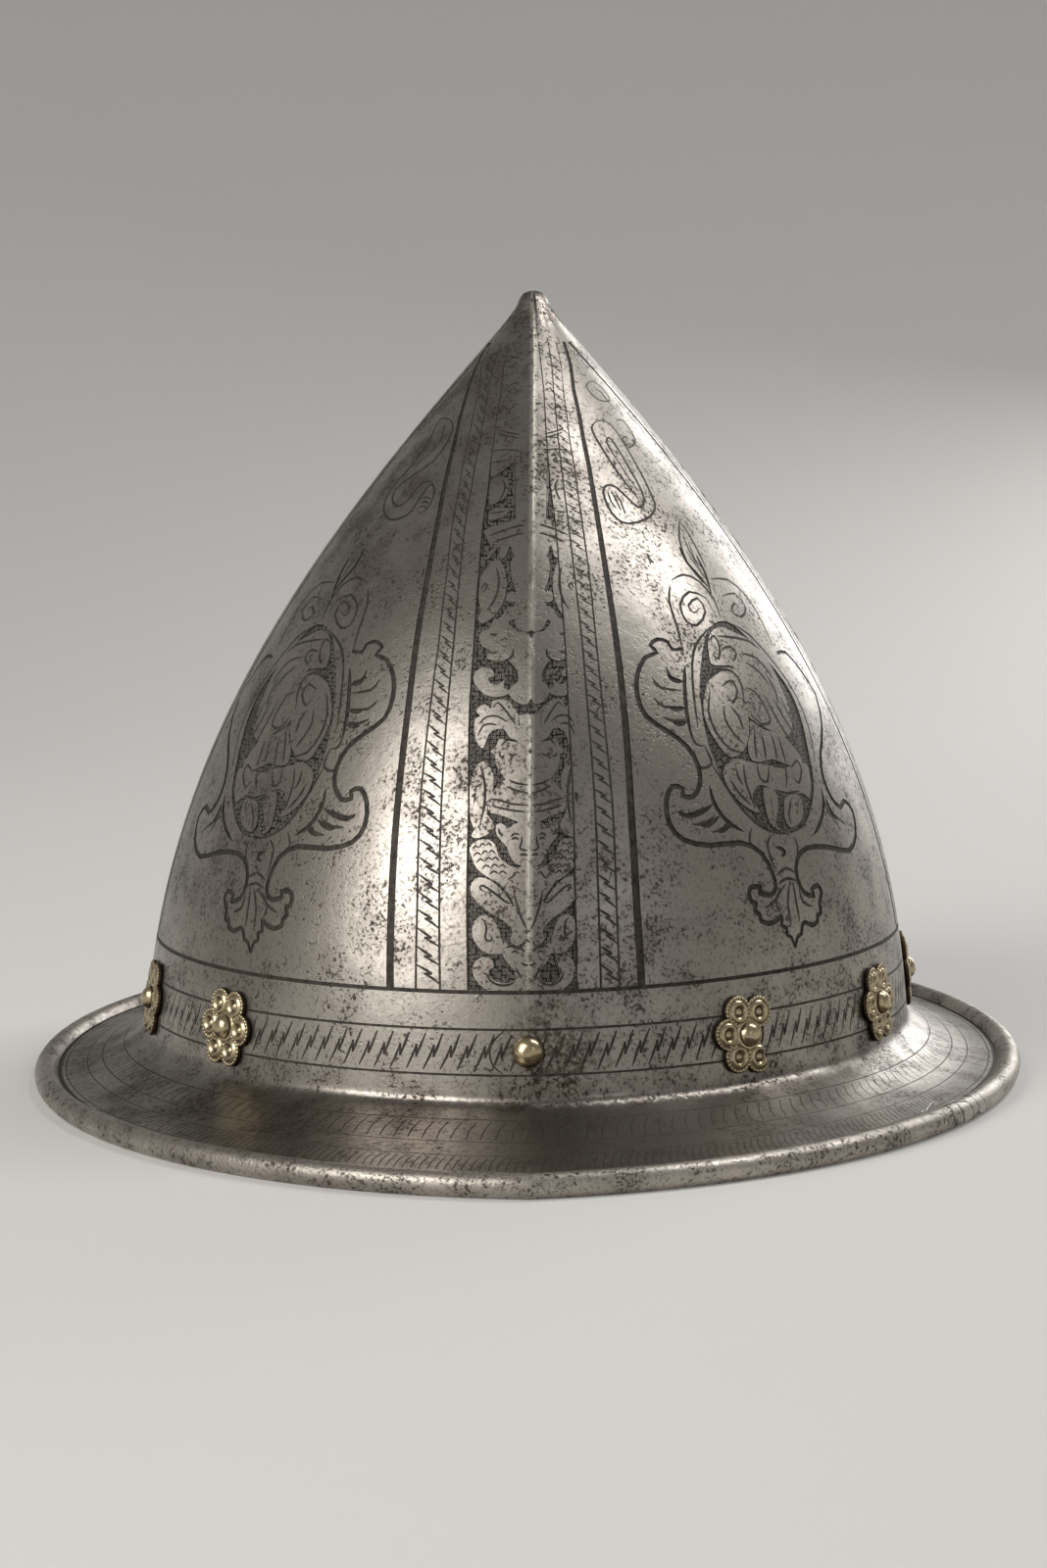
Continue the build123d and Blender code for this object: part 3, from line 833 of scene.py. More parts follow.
cartouche_light = [
    # crest and the spirals in it
    [(205, 120), (250, 98), (310, 124), (365, 190), (392, 262)],
    [(355, 115), (420, 118), (490, 180), (545, 270), (592, 372)],
    [(200, 140), (196, 200), (224, 290), (248, 380)],
    [(362, 238), (336, 188), (272, 164), (238, 212), (262, 276), (304, 290), (334, 240), (304, 188),
     (270, 215), (290, 244), (312, 226)],
    [(400, 180), (446, 170), (488, 224), (470, 260), (434, 236), (446, 206), (462, 225)],
    # inner frame and collars
    [(258, 450), (256, 540), (276, 690), (300, 745), (330, 750)],
    [(290, 765), (302, 810), (322, 836), (358, 820), (348, 785), (330, 750)],
    [(358, 820), (392, 872), (450, 962), (530, 1048), (600, 1080), (652, 1086)],
    [(348, 302), (300, 360), (284, 440), (290, 560), (306, 680)],
    [(410, 275), (500, 326), (600, 440), (680, 560), (730, 690), (752, 810)],
    # wings of the frame
    [(130, 490), (166, 530), (246, 540)],
    [(136, 568), (178, 602), (250, 602)],
    [(172, 640), (214, 656), (258, 650)],
    [(184, 450), (202, 486), (242, 500)],
    [(230, 1000), (258, 1016), (332, 985)],
    [(282, 1050), (330, 1046), (372, 1015)],
    [(360, 1080), (402, 1066), (418, 1040)],
    [(780, 930), (796, 990), (850, 1070)],
    [(790, 1000), (832, 1022), (872, 1052)],
    [(780, 1050), (802, 1092)],
    # keystone and palmette
    [(510, 1062), (502, 1112), (526, 1146), (562, 1160)],
    [(585, 1090), (570, 1132), (600, 1230)],
    [(670, 1095), (686, 1135), (680, 1215)],
    [(606, 1246), (640, 1216), (680, 1236)],
    [(612, 1276), (646, 1255), (686, 1266)],
    [(655, 1270), (648, 1350), (662, 1432)],
    [(668, 1270), (680, 1345), (694, 1422)],
    [(640, 1276), (602, 1340), (624, 1392)],
    [(618, 1290), (602, 1338), (562, 1370)],
    [(690, 1290), (706, 1345), (742, 1362)],
    # the warrior's helmet and shoulders
    [(350, 345), (368, 332), (388, 372), (384, 420), (362, 400)],
    [(380, 332), (440, 338), (500, 352), (542, 384)],
    [(398, 380), (430, 372), (452, 400), (440, 430)],
    [(470, 398), (520, 412), (562, 452), (596, 500)],
    [(488, 432), (540, 470), (586, 530)],
    # shield
    [(345, 500), (392, 462), (440, 470), (472, 520), (482, 600)],
    [(352, 540), (346, 620), (376, 700), (430, 764), (484, 776)],
    [(396, 524), (430, 502), (456, 540), (440, 584), (414, 560)],
    [(404, 600), (410, 650), (440, 700), (480, 744)],
    [(430, 600), (462, 640), (478, 690)],
    # arms and cloak
    [(486, 530), (522, 544), (560, 600), (582, 656), (548, 668), (508, 630)],
    [(560, 560), (602, 640), (650, 720), (690, 780)],
    [(592, 570), (632, 640), (676, 716)],
    [(620, 566), (656, 640), (690, 712)],
    [(640, 590), (664, 602), (652, 632)],
    [(560, 470), (600, 540), (610, 590)],
    # trunk and skirt
    [(520, 680), (524, 750), (530, 800)],
    [(546, 700), (560, 760), (564, 804)],
    [(584, 704), (600, 760), (606, 804)],
    [(612, 716), (630, 776), (640, 812)],
    [(530, 818), (542, 872), (570, 888), (576, 826)],
    [(592, 830), (640, 836), (642, 910)],
    [(600, 918), (646, 932), (692, 922)],
    [(660, 836), (682, 806), (700, 842), (690, 892), (668, 868)],
    [(480, 822), (486, 880), (504, 936), (524, 984)],
    [(430, 880), (462, 930), (508, 976)],
    [(450, 830), (460, 870), (478, 900)],
    [(584, 950), (596, 1040)],
    [(662, 950), (652, 1010), (662, 1050)],
    [(690, 950), (682, 1010)],
]
cartouche_wedges = [
    # dark hollows between the feathers of the frame's wings, along the inner ring
    [(256, 446), (255, 520), (262, 620), (276, 694)],
    [(188, 476), (214, 502), (252, 506)],
    [(196, 604), (224, 612), (258, 604)],
    [(212, 664), (238, 668), (266, 656)],
    [(350, 900), (364, 960), (394, 1012), (432, 1050), (482, 1078)],
    [(232, 1000), (268, 1020), (316, 1006), (364, 972)],
    [(318, 1056), (350, 1050), (388, 1018)],
    [(384, 1082), (412, 1066), (432, 1044)],
    [(778, 916), (784, 980), (770, 1048), (744, 1092)],
    [(792, 950), (806, 990), (836, 1034)],
    [(600, 1134), (628, 1146), (636, 1160), (622, 1172)],
]
cartouche_heavy_width = 1.3
cartouche_wedge_width = 1.15
cartouche_light_width = 0.76
mirrored_shift = -2.4        # degrees by which the left cartouche is out of the mirror's place
mirrored_lean = 5.8          # and by how much more at its top, over its height
cartouche_foot = 39.0
cartouche_height = 80.0


def at_left(points):
    """The front left cartouche mirrors the right one, and leans a little more."""
    points = np.array(points, float)
    lean = mirrored_shift - mirrored_lean * (points[:, 1] - cartouche_foot) / cartouche_height
    return np.column_stack([lean - points[:, 0], points[:, 1]])


oval_read = read_off(cartouche_ground, cartouche_sheet)
warrior_read = [read_off(points, cartouche_sheet) for points in cartouche_plain]
heavy_read = [read_off(points, cartouche_sheet) for points in cartouche_heavy]
light_read = [read_off(points, cartouche_sheet) for points in cartouche_light]
wedges_read = [read_off(points, cartouche_sheet) for points in cartouche_wedges]


def at_rear_left(points):
    """The rear's mirrored cartouche."""
    return at_rear(at_left(points))


for change in (as_read, at_left, at_rear, at_rear_left):
    add_region(change(oval_read), GROUND)
    for points in warrior_read:
        add_region(change(points), PLAIN)
    for points in heavy_read:
        stroke(change(points), cartouche_heavy_width, taper=0.7)
    for points in wedges_read:
        stroke(change(points), cartouche_wedge_width, taper=0.15)
    for points in light_read:
        stroke(change(points), cartouche_light_width)

# Horns and leaves above the cartouches
# A long curling horn leans out from each side of the front strip, and leaves rise above the cartouches.
# All are etched lines alone, without a ground, and the rear repeats them.
horns = [
    (0.75, [(985, 660), (1015, 648), (1060, 670), (1110, 740), (1180, 860), (1240, 980), (1255, 1040),
     (1220, 1085), (1140, 1108), (1085, 1085), (1045, 1030), (1025, 965), (1040, 938), (1080, 945),
     (1140, 1000), (1180, 1035), (1205, 1020), (1195, 960), (1140, 860), (1080, 760), (1050, 725),
     (1040, 745), (1070, 800), (1130, 890), (1176, 960)]),
    (0.75, [(985, 660), (974, 680), (986, 715), (1030, 790), (1090, 880), (1150, 960), (1176, 990)]),
    (0.55, [(1045, 965), (1060, 1010), (1085, 1040)]),
    (0.55, [(1060, 960), (1085, 1010), (1105, 1050)]),
    (0.55, [(1076, 966), (1104, 1012), (1122, 1066)]),
    (0.5, [(960, 478), (985, 476), (1030, 516), (1054, 560), (1010, 560), (966, 524), (950, 496),
     (960, 478)]),
    (0.55, [(990, 508), (1016, 524), (1036, 552), (1070, 590)]),
    (0.55, [(1082, 650), (1110, 648), (1144, 690), (1166, 740), (1140, 770), (1110, 730), (1130, 720)]),
    (0.55, [(1140, 628), (1186, 672), (1216, 722)]),
    (0.75, [(1362, 1095), (1364, 1180), (1398, 1280), (1470, 1372)]),
    (0.75, [(1362, 1095), (1402, 1150), (1442, 1222), (1480, 1300)]),
    (0.55, [(1380, 1160), (1412, 1240), (1462, 1320)]),
    (0.55, [(1404, 1190), (1430, 1262), (1470, 1310)]),
    (0.75, [(346, 646), (314, 640), (290, 660), (250, 740), (190, 830), (110, 920), (62, 990), (50, 1050),
     (74, 1088), (120, 1085), (165, 1060), (200, 1010), (240, 950), (264, 932), (275, 962), (262, 1010),
     (235, 1050), (200, 1060)]),
    (0.75, [(346, 646), (358, 680), (330, 750), (270, 830), (200, 880), (130, 930), (95, 970), (90, 1010),
     (112, 1030), (150, 1010), (190, 960), (225, 925), (258, 920)]),
    (0.55, [(215, 1000), (240, 990), (256, 1000)]),
    (0.55, [(210, 1018), (235, 1008), (250, 1022)]),
    (0.55, [(205, 1038), (225, 1028), (240, 1038)]),
    (0.5, [(380, 480), (350, 500), (300, 560), (262, 620), (284, 600), (340, 540), (376, 500)]),
    (0.5, [(325, 665), (300, 740), (240, 810), (170, 862)]),
]
leaf_lines = [
    (0.9, [(235, -6), (262, 50), (300, 92), (342, 142)]),
    (0.9, [(300, 26), (332, 90), (356, 172)]),
    (0.5, [(262, 10), (300, 66), (340, 120)]),
]
for width, points in horns:
    points = read_off(points, top_sheet)
    stroke(points, width, taper=0.5)
    stroke(at_rear(points), width, taper=0.5)
for width, points in leaf_lines:
    points = read_off(points, cartouche_sheet)
    for side in (points, at_left(points)):
        stroke(side, width, taper=0.5)
        stroke(at_rear(side), width, taper=0.5)

# Mark of the lost rosette
# Round the bare front rivet the plate still shows where the rosette's edge sat, as two thin scratches
# beside the rivet's head.
rosette_mark = [
    (0.5, [(590, 1180), (540, 1226), (520, 1280), (536, 1340), (580, 1376)]),
    (0.4, [(712, 1190), (752, 1240), (764, 1290), (744, 1350), (704, 1384)]),
]
for width, points in rosette_mark:
    stroke(read_off(points, low_sheet), width)

# Helmet plate
# One steel plate, raised by hammer to a keeled skull, flared to the brim and rolled under round a wire.
# The drawing above is cut into its outside; its inside is left rough from the hammer.
etch_depth = 0.2
sheet_turn_scale = 1.5       # spreads the sheet's turns, so that its triangles come out even
row_gap = 4.0
rim_columns = 192
tip_columns = 24
roll_steps = 18              # rows of faces round the roll's outside, from the brim to the floor
steel_slot, line_slot, ground_slot, roll_slot, inside_slot = range(5)      # the plate's materials
slot_of_kind = (steel_slot, ground_slot, line_slot, line_slot)     # for PLAIN, GROUND, FINE and LINE
axis_spread = 3.0            # units of the sheet_mm map to each degree between two of these axes
ornament_axes = (            # turns of the keels' and flanks' strips and of the four cartouches
    -135.0, -90.0, -50.0, 0.0, 45.0, 90.0, 130.0, 180.0,
)


def plate_rows():
    """Heights of the rows of plain points, with how many points go round each."""
    rises = list(np.linspace(brim_foot, flare_foot, 9))
    rises += list(np.linspace(flare_foot, skull_foot, 5)[1:])
    rises += list(np.linspace(skull_foot, skull_neck, round((skull_neck - skull_foot) / row_gap) + 1)[1:])
    rises += list(np.linspace(skull_neck, tip_rise, 6)[1:])
    rows = []
    for rise in rises:
        round_length = turns_length(rise)
        rows.append((rise, max(tip_columns, round(round_length / row_gap))))
    return rows


def turns_length(rise):
    """Millimetres once round the plate at a rise."""
    fine = np.linspace(0, 360, 181)[:-1]
    return float(scale_at(np.stack([fine, np.full(len(fine), float(rise))], 1))[:, 0].mean() * 360)


def lay_out_sheet():
    """Every point, edge and cut of the drawing sheet, as triangles, and the kind of each."""
    rows = plate_rows()
    points, edges, faces = [], [], []
    low, high = rows[0][0], rows[-1][0]
    border = [(t, low) for t in np.linspace(sheet_left, sheet_right, rim_columns + 1)]
    border += [(sheet_right, rise) for rise, _ in rows[1:-1]]
    border += [(t, high) for t in np.linspace(sheet_right, sheet_left, tip_columns + 1)]
    border += [(sheet_left, rise) for rise, _ in rows[-2:0:-1]]
    faces.append(list(range(len(border))))
    points += border
    for keel in (0.0, 180.0):
        start = len(points)
        points += [(keel, rise) for rise, _ in rows]
        edges += [(n, n + 1) for n in range(start, len(points) - 1)]
    for number, (rise, count) in enumerate(rows[1:-1]):
        gap = 360 / count
        shift = gap / 2 if number % 2 else 0
        for t in sheet_left + gap / 2 + shift + gap * np.arange(count):
            if sheet_left + gap / 4 < t < sheet_right - gap / 4 and min(abs(t), abs(t - 180)) > gap / 4:
                points.append((t, rise))
    for outline, _ in regions:
        start, count = len(points), len(outline)
        points += [tuple(c) for c in outline]
        edges += [(start + n, start + (n + 1) % count) for n in range(count)]
    for corners in cuts:
        faces.append([len(points), len(points) + 1, len(points) + 2])
        points += corners
    flat = [Vector((x * sheet_turn_scale, y)) for x, y in points]
    out, _, triangles, _, _, sources = delaunay_2d_cdt(flat, edges, faces, 1, 1e-3, True)
    out = np.array([(v.x / sheet_turn_scale, v.y) for v in out])
    triangles = np.array(triangles)
    kind = np.zeros(len(triangles), int)
    middle = out[triangles].mean(axis=1)
    for outline, laid in regions:
        kind[inside(middle, outline)] = laid
    for number, laid in inside_cuts(out, triangles, sources):
        if kind[number] != LINE:
            kind[number] = LINE if laid == LINE or kind[number] == GROUND else FINE
    return out, triangles, kind


def area_of(corners):
    """Areas of an array of triangles."""
    a, b, c = corners[:, 0], corners[:, 1], corners[:, 2]
    return np.abs((b[:, 0] - a[:, 0]) * (c[:, 1] - a[:, 1]) - (c[:, 0] - a[:, 0]) * (b[:, 1] - a[:, 1])) / 2


def inside_cuts(points, triangles, sources):
    """Triangles that cuts cover, and their kinds. A sliver closed up in the triangulation is left out."""
    pairs = np.array([(n, source) for n, found in enumerate(sources) for source in found if source > 0])
    covered = np.bincount(pairs[:, 1], area_of(points[triangles])[pairs[:, 0]], len(cuts) + 1)[1:]
    own = area_of(np.array(cuts))
    sound = np.abs(covered - own) < own * 0.02 + 0.005
    return [(number, cut_kinds[source - 1]) for number, source in pairs[sound[pairs[:, 1] - 1]]]


def inside(points, outline):
    """Which points lie inside an outline."""
    low, high = outline.min(axis=0), outline.max(axis=0)
    near = np.where(((points >= low) & (points <= high)).all(axis=1))[0]
    found = np.zeros(len(near), bool)
    x, y = points[near].T
    for (ax, ay), (bx, by) in zip(outline, np.roll(outline, -1, axis=0)):
        if ay != by:
            crosses = (ay > y) != (by > y)
            found ^= crosses & (x < ax + (y - ay) * (bx - ax) / (by - ay))
    return near[found]


def join_seam(flat, triangles):
    """The sheet's right border becomes its left one, point by point."""
    left = np.where(np.abs(flat[:, 0] - sheet_left) < 1e-4)[0]
    right = np.where(np.abs(flat[:, 0] - sheet_right) < 1e-4)[0]
    left = left[np.argsort(flat[left, 1])]
    right = right[np.argsort(flat[right, 1])]
    if len(left) != len(right) or np.abs(flat[left, 1] - flat[right, 1]).max() > 1e-3:
        raise ValueError("The two sides of the drawing sheet don't meet.")
    swap = np.arange(len(flat))
    swap[right] = left
    return swap[triangles]


def ring_row(ring):
    """The points of one ring, in the columns of the rim."""
    turns = np.linspace(sheet_left, sheet_right, rim_columns + 1)[:-1]
    return ring_at(np.tile(np.array(ring, float), (rim_columns, 1)), turns)[0]


def under_rows():
    """Rows of points from the rim's top edge round the roll and its bore and up the plate's inside."""
    plate_top = roll_angle(brim_edge_height)
    plate_foot = roll_angle(brim_edge_height - wall)
    flat_inner = roll_angle(0)
    flat_outer = 180 - flat_inner
    seam_half = math.degrees(math.asin(roll_slit / 2 / roll_radius))
    bore = wire_radius + wire_clearance
    rows = []
    for angle in np.linspace(plate_top, flat_outer, roll_steps + 1)[1:]:
        rows.append(roll_ring(roll_radius, angle))
    for angle in np.linspace(flat_inner, roll_slit_angle + seam_half, 3):
        rows.append(roll_ring(roll_radius, angle))
    for angle in np.linspace(roll_slit_angle + seam_half - 360, roll_slit_angle - seam_half, 15):
        rows.append(roll_ring(bore, angle))
    for angle in np.linspace(roll_slit_angle - seam_half, plate_foot, 4):
        rows.append(roll_ring(roll_radius, angle))
    for net, steps in ((brim_net(), 6), (flare_net(), 4), (skull_net(), 18)):
        rows += list(bezier(inset(net, wall), np.linspace(0, 1, steps + 1)[1:])[0])
    return rows


def walls_round(joined, deep):
    """The edges where sunk triangles meet high ones, in the high ones' order."""
    owner = {}
    for number, (a, b, c) in enumerate(joined):
        owner[(a, b)] = owner[(b, c)] = owner[(c, a)] = number
    return np.array([
        edge for edge, number in owner.items()
        if not deep[number] and edge[::-1] in owner and deep[owner[edge[::-1]]]
    ])


def sink(joined, kind):
    """Which triangles of the sheet lie deep, and the edges where they meet the high ones."""
    deep = (kind == GROUND) | (kind == LINE)
    while True:
        walls = walls_round(joined, deep)
        pinched = np.where(np.bincount(walls.ravel()) > 2)[0]
        if not len(pinched):
            return deep, walls
        # where two sunk areas touch in a single corner, that corner stays high
        deep &= ~np.isin(joined, pinched).any(axis=1)


def etched_outside(flat, joined, kind):
    """The outside's points and faces, with its grounds and broad lines sunk between low walls. Each face
    is its corners, its slot and whether it is smooth."""
    deep, walls = sink(joined, kind)
    own = np.arange(len(flat))
    has_high = np.isin(own, joined[~deep])
    only_deep = np.isin(own, joined[deep]) & ~has_high
    place = on_plate(flat[:, 0], flat[:, 1])[0]
    sunk = place - outwards(flat[:, 0], flat[:, 1]) * etch_depth
    place[only_deep] = sunk[only_deep]
    low_id = np.where(has_high, len(flat) + own, own)
    corners = joined.copy()
    corners[deep] = low_id[joined[deep]]
    faces = [(tuple(c), slot_of_kind[k], True) for c, k in zip(corners, kind)]
    faces += [((stop, start, low_id[start], low_id[stop]), line_slot, False) for start, stop in walls]
    return list(place) + list(sunk), faces


def row_at(flat, joined, rise):
    """The points of the joined sheet at one rise, in the order of their turns."""
    row = [v for v in np.unique(joined) if abs(flat[v, 1] - rise) < 1e-3]
    return sorted(row, key=lambda v: flat[v, 0])


def close_plate(points, faces, rim, tip):
    """Adds the rolled edge and the inside below the rim, and closes the crown and the tip."""
    above = rim
    for number, ring in enumerate(under_rows()):
        below = list(range(len(points), len(points) + rim_columns))
        points += list(ring_row(ring))
        slot = roll_slot if number <= roll_steps else inside_slot
        for n in range(rim_columns):
            m = (n + 1) % rim_columns
            faces.append(((above[m], above[n], below[n], below[m]), slot, True))
        above = below
    for loop, way, slot in ((above, -1, inside_slot), (tip, 1, steel_slot)):
        pole = len(points)
        points.append(np.mean([points[v] for v in loop], axis=0))
        for pair in zip(loop, loop[1:] + loop[:1]):
            faces.append(((*pair[::way], pole), slot, True))


def lay_drawing(mesh, flat, triangles):
    """Gives the outside the plate's true normals and the sheet_mm map: millimetres from the nearest axis
    of the ornament, and the rise."""
    turns, rises = flat[triangles, 0].ravel(), flat[triangles, 1].ravel()
    middles = flat[triangles, 0].mean(axis=1)
    quarters = np.floor(middles / 90).astype(int)
    normals = np.zeros((len(mesh.loops), 3))
    normals[:len(turns)] = outwards(turns, rises, np.repeat(quarters, 3))
    mesh.normals_split_custom_set(normals.tolist())
    axes = np.array(ornament_axes)
    nearest = np.repeat(axes[np.abs(middles[:, None] - axes).argmin(axis=1)], 3)
    by_turn = scale_at(np.stack([nearest, rises], 1))[:, 0]
    uv = np.zeros((len(mesh.loops), 2))
    uv[:len(turns), 0] = (turns - nearest) * by_turn + nearest * axis_spread
    uv[:len(turns), 1] = rises
    mesh.uv_layers.new(name="sheet_mm").data.foreach_set("uv", uv.ravel())


def build_plate():
    """The whole plate as one closed mesh, with the etching sunk into its outside."""
    flat, triangles, kind = lay_out_sheet()
    joined = join_seam(flat, triangles)
    points, faces = etched_outside(flat, joined, kind)
    close_plate(points, faces, row_at(flat, joined, brim_foot), row_at(flat, joined, tip_rise))
    used = np.unique(np.concatenate([corners for corners, _, _ in faces]))
    fresh = np.full(len(points), -1)
    fresh[used] = np.arange(len(used))
    points = np.array(points)[used] * MM
    mesh = bpy.data.meshes.new("etched_plate")
    mesh.from_pydata(points.tolist(), [], [[int(fresh[v]) for v in corners] for corners, _, _ in faces])
    mesh.polygons.foreach_set("material_index", [slot for _, slot, _ in faces])
    mesh.polygons.foreach_set("use_smooth", [soft for _, _, soft in faces])
    lay_drawing(mesh, flat, triangles)
    plate = bpy.data.objects.new("etched_plate", mesh)
    bpy.context.scene.collection.objects.link(plate)
    return plate


# Steel of the plate
# Steel that was brushed bright long ago: a pitted skin with dark specks, cloudy stains, some rust, cracks
# in one place of the rolled edge, and a painted highlight along the keels. The etching is bitten and
# blackened.
# Patterns run on real sizes, and metals keep the shader's default index of refraction.
steel_patterns = (           # size, detail and roughness of the clouds, blotches, grain, specks, hollows
    (45.0, 6, 0.6), (11.0, 6, 0.65), (1.6, 5, 0.7), (0.8, 3, 0.6), (3.5, 4, 0.6),
)
keel_repeat = 90 * axis_spread           # from the front keel to a flank in the sheet_mm map
stain_turn = 3.5             # rust spreads from the bare front rivet, mostly to its right
stain_rise = 21.0
stain_place_m = tuple(on_plate(np.array([stain_turn]), np.array([stain_rise]))[0][0] * MM)
crack_place_m = (0.102, -0.092, 0.005)
crack_size = 6.5
crack_depth = 0.4
stipple_gap = 0.85
stipple_height = 0.08


def hex_colour(text):
    """An sRGB hex colour as the linear colour that a shader takes."""
    parts = [int(text[n:n + 2], 16) / 255 for n in (0, 2, 4)]
    return tuple(c / 12.92 if c <= 0.04045 else ((c + 0.055) / 1.055)**2.4 for c in parts) + (1.0,)


def add_node(tree, kind, inputs=(), out=0, **settings):
    """A shader node with its settings, and its inputs linked to sockets or set to values: a list in the
    node's own order, or a dict by name. Gives the output that is read from it."""
    made = tree.nodes.new("ShaderNode" + kind)
    for name, value in settings.items():
        setattr(made, name, value)
    for name, value in inputs.items() if isinstance(inputs, dict) else enumerate(inputs):
        if isinstance(value, bpy.types.NodeSocket):
            tree.links.new(value, made.inputs[name])
        elif value is not None:
            made.inputs[name].default_value = value
    return made.outputs[out]


def new_material(name):
    """An empty material, the function that adds its nodes, and the place that its patterns read."""
    made = bpy.data.materials.new(name)
    made.use_nodes = True
    made.node_tree.nodes.clear()
    node = partial(add_node, made.node_tree)
    return made, node, node("TexCoord", out="Object")


def finish_surface(node, **sockets):
    """The material's one shader, with its sockets linked or set."""
    shader = node("BsdfPrincipled", {name.replace("_", " "): value for name, value in sockets.items()})
    tree = shader.id_data
    tree.links.new(shader, tree.nodes.new("ShaderNodeOutputMaterial").inputs[0])


def shaded(node, place, size, detail, rough, low, high, first, second):
    """A colour that drifts from one shade to another in clouds of a size."""
    clouds = node("TexNoise", {
        "Vector": place, "Scale": 1 / (size * MM), "Detail": detail, "Roughness": rough,
    })
    share = node("MapRange", [clouds, low, high])
    shades = {0: share, 6: hex_colour(first), 7: hex_colour(second)}
    return node("Mix", shades, 2, data_type="RGBA")


def dented(node, place, size, detail, rough, depth, strength, below=None):
    """A skin with dents of a size and a depth, over a coarser skin."""
    dents = node("TexNoise", {
        "Vector": place, "Scale": 1 / (size * MM), "Detail": detail, "Roughness": rough,
    })
    return node("Bump", {
        "Height": dents, "Distance": depth * MM, "Strength": strength, "Normal": below,
    })


def layered(node, *layers):
    """Patterns added up, each with its weight."""
    whole = None
    for pattern, weight in layers:
        layer = node("Math", [pattern, weight], operation="MULTIPLY")
        whole = layer if whole is None else node("Math", [whole, layer], operation="ADD")
    return whole


def rust_share(node, place, blotches, grain):
    """Where rust shows: on the skull's upper left, the flare, round the bare rivet and on the brim."""
    right = node("SeparateXYZ", [place], "X")
    up = node("SeparateXYZ", [place], "Z")
    leftwards = node("MapRange", [right, 0.02, -0.04])
    high = node("MapRange", [up, 0.105, 0.16])
    upper_left = node("Math", [leftwards, high], operation="MULTIPLY")
    flare = node("MapRange", [up, 0.022, 0.012])
    flare = node("Math", [flare, 0.45], operation="MULTIPLY")
    skull = node("Math", [upper_left, flare], operation="MAXIMUM")
    patches = node("MapRange", [blotches, 0.36, 0.58])
    skull = node("Math", [skull, patches], operation="MULTIPLY")
    rivet = node("VectorMath", [place, stain_place_m], "Value", operation="DISTANCE")
    rivet = node("MapRange", [rivet, 0.015, 0.006])
    speckle = node("MapRange", [grain, 0.36, 0.56])
    rivet = node("Math", [rivet, speckle], operation="MULTIPLY")
    skull = node("Math", [skull, rivet], operation="MAXIMUM")
    skull = node("Math", [skull, 0.75], operation="MULTIPLY")
    brim = node("MapRange", [up, 0.0115, 0.008])
    fading = node("MapRange", [right, -0.05, 0.06, 0.66, 0.1])
    brim = node("Math", [brim, fading], operation="MULTIPLY")
    mottle = node("Math", [blotches, grain], operation="ADD")
    mottle = node("MapRange", [mottle, 0.75, 1.1, 0.35, 1.0])
    brim = node("Math", [brim, mottle], operation="MULTIPLY")
    return node("Math", [skull, brim], operation="MAXIMUM")


def keel_highlight_share(node, grain):
    """A painted highlight along the keels, down to the base's top line."""
    sheet = node("UVMap", uv_map="sheet_mm")
    across = node("SeparateXYZ", [sheet], "X")
    up = node("SeparateXYZ", [sheet], "Y")
    from_keel = node("Math", [across, keel_repeat], operation="PINGPONG")
    # a pale band along each keel: a painted highlight
    keel_highlight = node("MapRange", [from_keel, 1.1, 0.3])
    above = node("MapRange", [up, 30, 50])
    keel_highlight = node("Math", [keel_highlight, above], operation="MULTIPLY")
    # the grain breaks the painted highlight into streaks
    highlight_streaks = node("MapRange", [grain, 0.62, 0.48])
    return node("Math", [keel_highlight, highlight_streaks], operation="MULTIPLY")


def crack_share(node, place):
    """The short cracks in one place of the rolled edge."""
    splits = node(
        "TexVoronoi", {"Vector": place, "Scale": 1 / (crack_size * MM)}, feature="DISTANCE_TO_EDGE",
    )
    splits = node("MapRange", [splits, 0.05, 0.02])
    near = node("VectorMath", [place, crack_place_m], "Value", operation="DISTANCE")
    near = node("MapRange", [near, 0.013, 0.009])
    return node("Math", [splits, near], operation="MULTIPLY")


